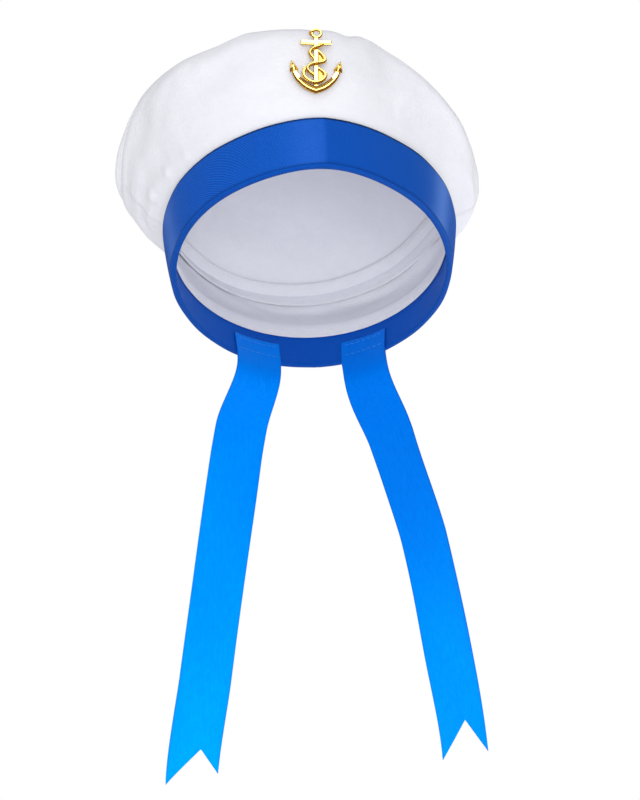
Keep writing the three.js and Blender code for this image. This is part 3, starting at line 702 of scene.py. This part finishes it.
def head_band():
    """A strip of twill folded in two: its face, the crisp fold at the rim, and the layer inside."""
    skin, h, wall = 1.0, BAND["height"], BAND["wall"]
    half = skin / 2
    corner = 0.7
    deep = wall - half
    # way of the middle of the cloth from the inner top edge, round the rim, to the turned-in outer edge
    def arc(cx, cy, r, a0, a1, k):
        a = np.radians(np.linspace(a0, a1, k))
        return np.stack([cx + r * np.cos(a), cy + r * np.sin(a)], -1)

    inner_x, outer_x = -deep, -half
    way = [np.array([[inner_x, h - 1.4]]), np.stack([np.full(16, inner_x), np.linspace(h - 2.4, half + corner + 0.3, 16)], -1),
           arc(inner_x + corner, half + corner, corner, 180, 270, 7), arc(outer_x - corner, half + corner, corner, 270, 360, 7)]
    ups = np.linspace(half + corner + 0.4, h - 1.2, 34)
    bow = BAND["bow"] * np.sin(math.pi * np.clip((ups - 0.5) / (h - 1.2), 0, 1)) ** 0.8
    way.append(np.stack([outer_x + bow, ups], -1))
    way.append(arc(outer_x - 0.62, h - 1.12, 0.62, 0, 180, 9))
    way.append(np.stack([np.full(5, outer_x - 1.24), np.linspace(h - 2.0, h - 6.5, 5)], -1))
    way = np.concatenate(way)
    run = np.concatenate([[0], np.cumsum(np.linalg.norm(np.diff(way, axis=0), axis=1))])
    deg = np.concatenate([np.linspace(-180, 180, 480, endpoint=False), FRONT_JOIN + np.linspace(-2.2, 2.2, 25), [-179.9, -179.7, -179.5, 179.5, 179.7, 179.9]])
    deg = np.unique(np.round(deg, 4))
    deg = deg[np.concatenate([[True], np.diff(deg) > 0.05])]
    cols = len(deg)
    D = np.repeat(deg[None, :], len(way), 0)
    out, up = np.repeat(way[:, :1], cols, 1), np.repeat(way[:, 1:], cols, 1)
    # sewn join at the middle of the front: a slight peak with a shallow crease down it
    front = turned(D, FRONT_JOIN)
    outside = smoothstep(out, -2.0, -0.8)
    out = out + outside * (0.35 * np.exp(-((np.abs(front) / 2.4) ** 1.1)))
    # the strip's own join at the back
    back = turned(D, 180.0)
    out = out + outside * (-0.4 * np.exp(-((back / 0.3) ** 2)) + 0.25 * np.exp(-((np.abs(back) / 2.2) ** 2)))
    # the cloth isn't dead flat: long slow waves, and shorter ones round the band
    out = out + outside * 0.16 * np.sin(np.radians(D * 7 + 20) + up * 0.05) + 0.1 * np.sin(np.radians(D * 17)) * outside
    mid = band_point(D, out, up)
    facing = grid_normal(mid, True)
    # rows run from inside to outside round the rim, so the cloth's outer side is on the left hand
    outer, inner = mid + facing * half, mid - facing * half
    verts, faces = shell(outer, inner, True)
    radius = 0.5 * (BAND["half_width"] + BAND["half_depth"]) + 2
    u = np.radians(turned(D, FRONT_JOIN)) * radius
    v = np.repeat(run[:, None], cols, 1)
    # ribs: their slope against the band turns from one way at the front to the other at the side
    lean_u = np.linspace(-330, 330, 2000)
    slope = np.interp(lean_u, [-330, -120, -90, -45, 0, 0.001, 60, 330], [-1, -1, -0.95, 0.1, 0.64, -0.6, -0.9, -1])
    steep = 1 / np.sqrt(1 + slope * slope)
    g = np.cumsum(slope * steep) * (lean_u[1] - lean_u[0])
    rib = ((v - run[-1] * 0.7) * np.interp(u, lean_u, steep) - np.interp(u, lean_u, g)) / 0.95
    yarn = (u + v * 0.2) / 0.62
    show = np.where(u < 0, lerp(0.5, 1.0, smoothstep(u, -110, -70)), 0.25) * smoothstep(v, run[30] - 0.5, run[30] + 1.5)
    # painted shade: the cloth is darker in the turned top edge, under the rim and inside
    n_rim = 1 + 16 + 14
    at_row = np.arange(len(way))[:, None]
    rim_dark = 0.35 * np.exp(-(((at_row - (n_rim - 8)) / 5.0) ** 2)) + 0.5 * np.exp(-(((at_row - n_rim) / 1.1) ** 2))
    top_dark = smoothstep(up, h - 2.1, h - 1.5) * (at_row > n_rim)
    tucked = 1.0 * (at_row >= n_rim + 34 + 4)
    # painted shade over the right half of the face, and painted light on a strip just left of the front join
    painted_shading_tone = 1 - 0.8 * rim_dark - 0.8 * np.maximum(top_dark, tucked) - 0.12 * smoothstep(u, -2.4, 2.4) * (at_row > n_rim) * (1 - smoothstep(u, 90, 150))
    painted_shading_tone = painted_shading_tone + 0.1 * np.exp(-(((front + 6.0) / 9.0) ** 2)) * (at_row > n_rim) * (1 - smoothstep(front, -1.3, 1.3))
    # painted highlight: paler towards both ends of what shows from in front, where the cloth turns away
    faced = 1.0 * (at_row > n_rim) * (1 - np.maximum(top_dark, tucked))
    painted_sheen = faced * (0.5 * np.exp(-(((D - 66) / 7.0) ** 2)) + 0.3 * np.exp(-(((D + 73) / 7.0) ** 2)) + 0.06 * np.exp(-(((front + 5.0) / 8.0) ** 2)) * (1 - smoothstep(front, -1.3, 1.3)))
    floats = {k: np.concatenate([(x + 0 * u).ravel(), (x + 0 * u).ravel()]) for k, x in (("rib", rib), ("yarn", yarn), ("show", show), ("painted_shading_tone", painted_shading_tone), ("painted_sheen", painted_sheen))}
    uv = np.stack([u, v], -1).reshape(-1, 2)
    return make("head_band", worn(verts), faces, np.concatenate([uv, uv]), floats, material=TWILL), float(run[-1])


band_obj, band_cut = head_band()

# ------------------------------------------------------------------ ribbon tails
RIBBON = dict(width=32.0, tuck=15.0, ease=46.0, skin=0.5)
# deep is each tail's painted shade, all the way down
TAILS = (
    dict(name="ribbon_left_satin", node="ribbon_left", deg=-152.5, fork=(266, 255, 241.7, 0.62), lean0=-10, seed=0.4, deep=0.02,
         way=np.array([(0, -37.5, 76, -10, 14), (60, -46.8, 78, -8.5, 8), (130, -56.8, 80, -8, 5), (200, -66.3, 81, -8, 4), (262, -74.8, 81, -8, 4)], float)),
    dict(name="ribbon_right_satin", node="ribbon_right", deg=158, fork=(249.4, 246.3, 225.7, 0.6), lean0=22, seed=2.1, deep=0.17,
         way=np.array([(0, 30, 79, 22, -10), (50, 48.6, 80, 21, -26), (110, 69, 79, 14, -32), (180, 83.4, 80, 11.5, -27), (250, 95, 83, 9, -26)], float)),
)


def along(way, down):
    """The tail's middle line and lie at a distance below the rim."""
    keys = way[:, 0]
    d = np.clip(down, keys[0], keys[-1])
    i = np.clip(np.searchsorted(keys, d, side="right") - 1, 0, len(keys) - 2)
    f = ((d - keys[i]) / (keys[i + 1] - keys[i]))[..., None]
    n = len(keys) - 1
    p0, p1, p2, p3 = way[np.clip(i - 1, 0, n), 1:], way[i, 1:], way[i + 1, 1:], way[np.clip(i + 2, 0, n), 1:]
    return 0.5 * (2 * p1 + (p2 - p0) * f + (2 * p0 - 5 * p1 + 4 * p2 - p3) * f ** 2 + (3 * p1 - p0 - 3 * p2 + p3) * f ** 3)


def tail_at(tail, across, down):
    """A point of the tail's middle, in the row frame, in millimetres."""
    side = (across - 0.5) * RIBBON["width"]
    clear = BAND["wall"] + GAP + 0.5 + 0.1
    spread = np.degrees(side / (BAND["half_depth"] * 0.82))
    wider = -BAND["flare"] * down / BAND["height"]
    on_band = worn(from_oval(tail["deg"] - spread, -clear, -down, BAND["half_width"] + wider, BAND["half_depth"] + wider))
    on_band[..., 0] += np.where(down > 0, 0.3 * math.tan(math.radians(tail["lean0"])) * down, 0)
    root = worn(from_oval(np.array(float(tail["deg"])), -clear, 0.0, BAND["half_width"], BAND["half_depth"]))
    p = along(tail["way"], down)
    lean, turn = np.radians(p[..., 2]), np.radians(p[..., 3])
    axis = np.stack([np.cos(lean) * np.cos(turn), np.sin(turn), np.sin(lean) * np.cos(turn)], -1)
    free = np.stack([p[..., 0], p[..., 1], root[2] - down], -1) + axis * side[..., None]
    return lerp(on_band, free, smootherstep(down, 0, RIBBON["ease"])[..., None])


def ribbon(tail):
    cols, rows = 57, 270
    edge_cols = np.array([0, 0.006, 0.014, 0.024, 0.036])
    across1 = np.concatenate([edge_cols, np.linspace(0.055, 0.945, cols - 10), 1 - edge_cols[::-1]])
    left, right, notch, notch_at = tail["fork"]
    end = np.where(across1 < notch_at, lerp(left, notch, across1 / notch_at), lerp(notch, right, (across1 - notch_at) / (1 - notch_at)))
    f = np.linspace(0, 1, rows)[:, None]
    down = -RIBBON["tuck"] + (end[None, :] + RIBBON["tuck"]) * f
    across = np.repeat(across1[None, :], rows, 0)
    mid = tail_at(tail, across, down)
    normal = grid_normal(mid)
    ph = tail["seed"]
    free = smoothstep(down, 25, 90)
    side = (across - 0.5)
    wave = 0.9 * np.sin(down / 31 + ph + 2.2 * side) + 0.5 * np.sin(down / 17 + 2 * ph - 3.0 * side) + 0.9 * side * np.sin(down / 43 + 1.7 * ph)
    curl = 1.1 * (2 * side) ** 4 * np.sin(down / 52 + ph)
    lift = (wave + curl) * free
    mid = mid + normal * lift[..., None]
    facing = grid_normal(mid)
    rim = np.exp(-((np.minimum(across, 1 - across) * RIBBON["width"] / 0.5) ** 2))
    half = RIBBON["skin"] / 2 + 0.09 * rim
    # painted shade: the colour is deeper in the hollows of the waves, and all down the tail that turns from the light
    shade = lerp(tail["deep"], 0.45 * tail["deep"], smoothstep(down, 60, 200)) - 0.02 * wave * free
    outer, inner = mid + facing * half[..., None], mid - facing * half[..., None]
    verts, faces = shell(outer, inner)
    uv = np.stack([across * RIBBON["width"], -down], -1).reshape(-1, 2)
    obj = make(tail["name"], verts, faces, np.concatenate([uv, uv]), {"edge": np.concatenate([rim.ravel()] * 2), "shade": np.concatenate([shade.ravel()] * 2)}, material=SATIN)
    return obj, end


tail_objs = []
for tail in TAILS:
    obj, end = ribbon(tail)
    tail_objs.append((tail, obj, end))

# ------------------------------------------------------------------ anchor badge
BADGE = dict(deg=5.4, along=0.64, facing=4.0, lean=2.6, bend=160.0, stand_off=1.0)


def badge_seat():
    a = math.radians(BADGE["facing"])
    across = np.array([math.cos(a), math.sin(a), 0])
    up = (crown_wall(BADGE["deg"], 0.70, False) - crown_wall(BADGE["deg"], 0.58, False)).reshape(3)
    up = unit(up - across * (up @ across))
    out = np.cross(across, up)
    r = math.radians(-BADGE["lean"])
    turn = lambda v: v * math.cos(r) + np.cross(out, v) * math.sin(r)  # noqa: E731
    return crown_wall(BADGE["deg"], BADGE["along"], False).reshape(3), turn(across), turn(up), out


SEAT, SEAT_X, SEAT_Y, SEAT_Z = badge_seat()


def on_badge(p):
    """From the badge's own plane to the cap's frame: x to the right, y up, z out of the cloth."""
    p = np.asarray(p, float)
    z = p[:, 2] - p[:, 0] ** 2 / (2 * BADGE["bend"]) + CLOTH / 2 + BADGE["stand_off"]
    return SEAT + p[:, :1] * SEAT_X + p[:, 1:2] * SEAT_Y + z[:, None] * SEAT_Z


def loft(sections, closed=True):
    """A closed solid through sections (stations, points, 3) with flat ends; each section runs round the solid."""
    sections = np.asarray(sections, float)
    n, k = sections.shape[:2]
    faces = quads(n, k, True).tolist()
    faces.append(list(range(k))[::-1])
    faces.append([(n - 1) * k + j for j in range(k)])
    return sections.reshape(-1, 3), faces


ARM_OUT = np.array([(0, -22.9), (4, -21.2), (7, -19.2), (10, -16), (11.8, -13.4), (13.2, -10.2), (13.7, -7.6)], float)
ARM_IN = np.array([(0, -18.6), (4, -16.7), (7, -14), (9.2, -11.6), (10.9, -8.8), (11.6, -6.6)], float)
FLUKE = dict(outer=(14.7, -8.4), tip=(14.0, -0.6), inner=(9.8, -7.1), root=(12.3, -8.2))
# the rope lies in three lengths that go behind the shank: x, y, z along each
ROPES = (
    np.array([(3.4, 10.6, 0.5), (3.3, 9.4, 1.0), (1.6, 7.9, 1.8), (-0.4, 7.1, 2.0), (-2.6, 5.8, 1.4), (-3.5, 3.8, 1.0), (-2.4, 1.4, 0.8), (-0.6, -0.6, 0.4), (0.6, -1.8, 0.2)], float),
    np.array([(-0.6, 6.2, 0.2), (1.2, 5.3, 0.5), (3.2, 3.0, 0.9), (4.8, 0.4, 1.1), (4.6, -1.9, 1.4), (2.2, -3.2, 1.8), (-0.4, -3.6, 2.0), (-3.2, -4.4, 1.5), (-4.9, -6.4, 1.0), (-3.8, -8.6, 0.7), (-1.2, -10.6, 0.3), (0.4, -11.4, 0.2)], float),
    np.array([(-0.6, -5.4, 0.2), (1.4, -6.4, 0.5), (3.8, -8.4, 0.9), (5.3, -10.9, 1.1), (4.6, -13.4, 1.3), (2.4, -15.6, 1.7), (-0.5, -16.5, 1.9), (-3.7, -15.4, 1.6), (-6.3, -12.6, 1.3), (-7.1, -9.8, 1.1), (-6.4, -7.2, 0.9)], float),
)
# cast fill with a beaded face between rope and shank: corners of each field
WEBS = (((1.2, 5.0), (3.4, 2.4), (4.6, -0.6), (3.9, -2.2), (1.2, -3.2)), ((1.2, -6.6), (3.6, -8.6), (5.1, -11.2), (4.0, -13.8), (1.2, -15.6)))


def anchor():
    heap = Heap()

    def half_arm(sign):
        f = np.linspace(0, 1, 44)
        o, i = spline(ARM_OUT, f), spline(ARM_IN, f)
        wide = o - i
        rows = []
        for oo, ii, ww in zip(o, i, wide):
            rows.append([(*ii, 0.0), (*ii, 1.1), (*(ii + ww * 0.06), 1.3), (*(ii + ww * 0.7), 1.6), (*(oo - ww * 0.03), 0.75), (*oo, 0.6), (*oo, 0.0)])
        s = np.array(rows)
        s[..., 0] *= sign
        if sign > 0:
            s = s[:, ::-1]
        heap.add(*loft(s))

    def fluke(sign):
        o, t, i, r = (np.array(FLUKE[k]) for k in ("outer", "tip", "inner", "root"))
        rows = []
        for f in np.linspace(0, 1, 14):
            ease = f ** 1.15
            left = lerp(i, t, ease) + np.array([-0.15, 0.0]) * math.sin(math.pi * f)
            right = lerp(o, t, ease) + np.array([0.3, 0.1]) * math.sin(math.pi * f)
            mid = lerp(r, t, f)
            tall = lerp(2.0, 0.6, f)
            edge = 0.5
            rows.append([(*left, 0.0), (*left, edge), (*lerp(left, mid, 0.62), tall - 0.12), (*mid, tall), (*lerp(right, mid, 0.62), tall - 0.12), (*right, edge), (*right, 0.0)])
        s = np.array(rows)
        s[-1, :, :2] = lerp(s[-1, :, :2], np.array(FLUKE["tip"]), 0.6)
        s[..., 0] *= sign
        if sign > 0:
            s = s[:, ::-1]
        heap.add(*loft(s))

    def bar(x0, x1, y0, y1, top, chamfer, drop, low=0.0):
        """A bar with bevelled upper edges."""
        rings = []
        for inset, z in ((0.0, low), (0.0, top - drop), (chamfer, top)):
            rings.append([(x0 + inset, y0 + inset, z), (x1 - inset, y0 + inset, z), (x1 - inset, y1 - inset, z), (x0 + inset, y1 - inset, z)])
        heap.add(*loft(np.array(rings)))

    def web(corners):
        """A thin plate whose face is covered in small beads."""
        c = np.array(corners)
        low, high = c.min(0), c.max(0)
        xs, ys = np.arange(low[0], high[0] + 0.01, 0.16), np.arange(low[1], high[1] + 0.01, 0.16)
        edge_y = c[np.argsort(c[:, 1])]
        right = np.interp(ys, edge_y[:, 1], edge_y[:, 0])
        u = np.linspace(0, 1, 28)
        x = low[0] + (np.maximum(right, low[0] + 0.05) - low[0])[:, None] * u[None, :]
        y = np.repeat(ys[:, None], len(u), 1)
        z = 0.72 + 0.2 * np.maximum(0, np.sin(2 * math.pi * (x + y) / 1.25) * np.sin(2 * math.pi * (x - y) / 1.25))
        face = np.stack([x, y, z], -1)
        back = np.stack([x, y, np.full_like(z, 0.15)], -1)
        heap.add(*shell(face, back))

    for sign in (1, -1):
        half_arm(sign)
        fluke(sign)
    bar(-1.3, 1.3, -18.9, 15.0, 1.55, 0.42, 0.5)
    bar(-8.7, 8.7, 9.9, 12.5, 1.75, 0.55, 0.7)
    hard = heap.count
    for corners in WEBS:
        web(corners)
    # ring through the head of the shank
    a = np.linspace(0, 2 * math.pi, 72, endpoint=False)
    ring = np.stack([2.55 * np.cos(a) + 0.2, 16.9 + 2.65 * np.sin(a), np.full(72, 0.95)], -1)
    heap.add(*tube(ring, 0.85, 18, closed=True))
    # rope, laid in three strands
    for points in ROPES:
        path = spline(points, np.linspace(0, 1, 40 * len(points)))
        length = np.concatenate([[0], np.cumsum(np.linalg.norm(np.diff(path, axis=0), axis=1))])
        heap.add(*tube(path, 1.12, 18, twist=length / 3.4 * 2 * math.pi, lobes=3, depth=0.1))
    # the rope's upper end, taken once round the ring
    b = np.linspace(-0.6, 6.6, 96)
    wrap = np.stack([-2.35 + 1.25 * np.cos(b) - 0.06 * b, 17.9 - 0.42 * b + 0.7, 0.95 + 1.25 * np.sin(b)], -1)
    run = np.concatenate([[0], np.cumsum(np.linalg.norm(np.diff(wrap, axis=0), axis=1))])
    heap.add(*tube(wrap, 0.5, 12, twist=run / 1.7 * 2 * math.pi, lobes=3, depth=0.36))
    # the rope's loose end, opened into its strands
    for k, (dx, dy, dz) in enumerate(((-0.9, 1.9, 0.2), (0.1, 2.3, 0.5), (1.0, 1.8, 0.1), (0.5, 2.0, -0.3))):
        f = np.linspace(0, 1, 14)[:, None]
        tip = np.array([-6.45, -7.5, 0.9]) + f * np.array([dx, dy, dz]) + f * f * np.array([0.4 * dx, -0.3, 0])
        heap.add(*tube(tip, 0.42 * (1 - 0.55 * f[:, 0] ** 2), 10))
    own = heap.points()
    # painted shade: the gold is darker and browner low on the casting, near the cloth
    painted_low_shade = np.clip((0.8 - own[:, 2]) / 0.8, 0, 1) * 0.6
    obj = make("anchor_gilt", worn(on_badge(own)), heap.faces, floats={"painted_low_shade": painted_low_shade}, smooth=True, material=GILT)
    bm = bmesh.new()
    bm.from_mesh(obj.data)
    weight = bm.edges.layers.float.new("bevel_weight_edge")
    for e in bm.edges:
        if len(e.link_faces) == 2 and max(v.index for v in e.verts) < hard and e.calc_face_angle() > math.radians(26):
            e[weight] = 1.0
    bm.to_mesh(obj.data)
    bm.free()
    obj.data.set_sharp_from_angle(angle=math.radians(38))
    bevel = obj.modifiers.new("edges", "BEVEL")
    bevel.width, bevel.segments, bevel.limit_method = 0.00010, 2, "WEIGHT"
    return obj


badge = anchor()

# ------------------------------------------------------------------ stitches inside
def measured(points):
    return np.concatenate([[0], np.cumsum(np.linalg.norm(np.diff(points, axis=0), axis=1))])


def taken(points, run, s):
    return np.stack([np.interp(s, run, points[:, k]) for k in range(3)], -1)


def overlock(heap, edge, body, face, pitch=2.3, depth=3.2):
    """Binding stitches along a raw edge: over the face towards the cloth's body and back to the edge."""
    run = measured(edge)
    count = int(run[-1] / pitch)
    s = np.linspace(0, run[-1], count * 6 + 1)
    go = 0.5 - 0.5 * np.cos(2 * math.pi * (s * count / run[-1]))
    path = taken(edge, run, s) + unit(taken(body - edge, run, s)) * (go * depth)[:, None] + unit(taken(face, run, s)) * (SKIN / 2 + 0.12)
    heap.add(*tube(path, 0.15, 5))


def running(heap, line, face, dash=2.5, gap=0.9, radius=0.17, lift=0.1):
    """A row of straight stitches along a line on the cloth's face."""
    run = measured(line)
    count = int(run[-1] / (dash + gap))
    for k in range(count):
        s = (k + 0.15) * run[-1] / count + np.linspace(0, dash, 5)
        arch = np.sqrt(np.sin(np.linspace(0.1, math.pi - 0.1, 5)))
        heap.add(*tube(taken(line, run, s) + unit(taken(face, run, s)) * ((lift + radius) * arch - radius)[:, None], radius, 5))


white_sewn, blue_sewn = Heap(), Heap()
for mid, facing in ((front_mid, front_face), (back_mid, back_face)):
    keep = slice(16, -16)
    mid, facing = worn(mid[:, keep]), worn(facing[:, keep])
    overlock(white_sewn, mid[0], mid[3], -facing[0])
    running(white_sewn, mid[7] - facing[7] * SKIN / 2, -facing[7])
    overlock(white_sewn, mid[-1], mid[-3], facing[-1])
ring = np.append(np.arange(lid_mid.shape[1]), 0)
overlock(white_sewn, worn(lid_mid[0, ring]), worn(lid_mid[2, ring]), worn(lid_face[0, ring]))
for tail in TAILS:
    sides = np.linspace(0.07, 0.93, 24)
    for down in (-12.0, -4.0):
        grid = tail_at(tail, np.repeat(sides[None, :], 3, 0), np.array([down - 1, down, down + 1])[:, None] + 0 * sides[None, :])
        face = grid_normal(grid)[1]
        face = face * np.where((face * -grid[1]).sum(-1) > 0, 1, -1)[:, None]
        running(blue_sewn, grid[1] + face * RIBBON["skin"] / 2, face)
white_stitches = make("crown_stitches", white_sewn.points(), white_sewn.faces, material=WHITE_THREAD)
blue_stitches = make("ribbon_stitches", blue_sewn.points(), blue_sewn.faces, material=BLUE_THREAD)

# ------------------------------------------------------------------ ride and replace
for obj, nodes, slot in (
    (crown_front, ("crown_front",), "white_cloth"), (crown_back, ("crown_back",), "white_cloth"), (crown_lid, ("crown_top",), "white_cloth"),
    (band_obj, ("band",), "blue_twill"), (badge, ("anchor_badge",), "gold_metal"),
    (tail_objs[0][1], ("ribbon_left",), "azure_satin"), (tail_objs[1][1], ("ribbon_right",), "azure_satin"),
):
    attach(obj, "root")
    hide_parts(*nodes)
for obj, slot in ((white_stitches, "white_cloth"), (blue_stitches, "azure_satin")):
    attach(obj, "root")
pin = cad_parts["badge_pin"]
pin.data.materials.clear()
pin.data.materials.append(PIN)


# ------------------------------------------------------------------ stage, light, camera
scene = bpy.context.scene
floor_z = -0.42
bpy.ops.mesh.primitive_grid_add(x_subdivisions=2, y_subdivisions=2, size=12, location=(0, 0, floor_z))
floor = bpy.context.object
floor.name = "studio_floor"
fm, fn, fl, fb = material("studio_floor")
put(fb, Roughness=0.9, Specular_IOR_Level=0.0, Emission_Color=(1, 1, 1, 1))
# pale paper under the cap that goes over into even white further out
place = node(fn, "ShaderNodeTexCoord")
far = node(fn, "ShaderNodeVectorMath", operation="LENGTH")
fl.new(place.outputs["Object"], far.inputs[0])
fl.new(ramp(fn, fl, maths(fn, fl, "MULTIPLY", far.outputs["Value"], 1.0), [(0.3, (0.93, 0.93, 0.93)), (0.66, (0, 0, 0))]), fb.inputs["Base Color"])
glow = node(fn, "ShaderNodeMapRange", From_Min=0.3, From_Max=0.66)
fl.new(far.outputs["Value"], glow.inputs["Value"])
fl.new(glow.outputs[0], fb.inputs["Emission Strength"])
floor.data.materials.append(fm)

world = bpy.data.worlds.new("studio")
scene.world = world
world.use_nodes = True
world.node_tree.nodes["Background"].inputs["Color"].default_value = (1, 1, 1, 1)
world.node_tree.nodes["Background"].inputs["Strength"].default_value = 1.0


def softbox(name, place, aim, width, height, watts, colour=(1, 1, 1)):
    light = bpy.data.lights.new(name, "AREA")
    light.shape, light.size, light.size_y, light.energy, light.color = "RECTANGLE", width, height, watts, colour
    obj = bpy.data.objects.new(name, light)
    scene.collection.objects.link(obj)
    from mathutils import Vector
    d = Vector(aim) - Vector(place)
    obj.location = place
    obj.rotation_euler = d.to_track_quat("-Z", "Y").to_euler()
    return obj


softbox("key", (-0.05, -0.62, 1.4), (0, -0.05, 0.08), 0.36, 0.22, 0.8)
softbox("front", (0.24, -1.93, 0.0), (0, 0, 0.04), 0.7, 0.7, 14.2)
softbox("rim", (0.38, 0.2, -0.35), (0.1, 0, 0.0), 0.2, 0.15, 0.85)
softbox("low_side", (-0.9, -0.5, -0.4), (-0.09, 0, 0.0), 0.5, 0.4, 2.3)


def card(name, corners, colour, strength, diffuse):
    """A studio card that the camera doesn't see: it holds light back from the cloth, or shows in the shine of the metal."""
    m, n, l, bsdf = material(name)
    put(bsdf, Roughness=1.0, Specular_IOR_Level=0.0, Base_Color=(0, 0, 0, 1), Emission_Color=(*colour, 1), Emission_Strength=strength)
    obj = make(name, np.array(corners, float) * 1000, [[0, 1, 2, 3]], material=m, smooth=False)
    obj.visible_camera = obj.visible_shadow = obj.visible_transmission = obj.visible_volume_scatter = False
    obj.visible_diffuse, obj.visible_glossy = diffuse, not diffuse


for name, x in (("flag_left", -0.8), ("flag_right", 0.8)):
    card(name, [(x, -1.0, -0.05), (x, 0.9, -0.05), (x, 0.9, 1.3), (x, -1.0, 1.3)], (0.97, 0.98, 1.0), 0.38, True)
card("overhead", [(-0.35, -1.0, 1.2), (0.35, -1.0, 1.2), (0.35, -0.15, 1.2), (-0.35, -0.15, 1.2)], (1, 0.98, 0.94), 7.5, False)

# dark surround that only shows in the shine of the metal, as in a half-lit studio
turns = 48
a = np.linspace(0, 2 * math.pi, turns, endpoint=False)
ring = np.stack([1.25 * np.cos(a), 1.25 * np.sin(a), np.zeros(turns)], -1)
wall_pts = np.concatenate([ring + (0, 0, -0.38), ring + (0, 0, 0.95)]) * 1000
wall_faces = strip(np.arange(turns), np.arange(turns) + turns, False, True).tolist() + [list(range(turns))]
dm, dn, dl, db = material("dark_surround")
put(db, Roughness=1.0, Specular_IOR_Level=0.0, Base_Color=(0, 0, 0, 1), Emission_Color=(0.2, 0.105, 0.05, 1), Emission_Strength=1.0)
surround = make("dark_surround", wall_pts, wall_faces, material=dm, smooth=False)
surround.visible_camera = surround.visible_diffuse = surround.visible_shadow = False
surround.visible_transmission = surround.visible_volume_scatter = False

cam = bpy.data.cameras.new("camera")
cam.lens, cam.sensor_width, cam.clip_start = 127.2, 36, 0.01
camera = bpy.data.objects.new("camera", cam)
camera.location = (0.0048, -1.668, -0.074)
camera.rotation_euler = (math.radians(90), 0, 0)
scene.collection.objects.link(camera)
scene.camera = camera
scene.view_settings.view_transform = "Standard"
scene.view_settings.look = "None"
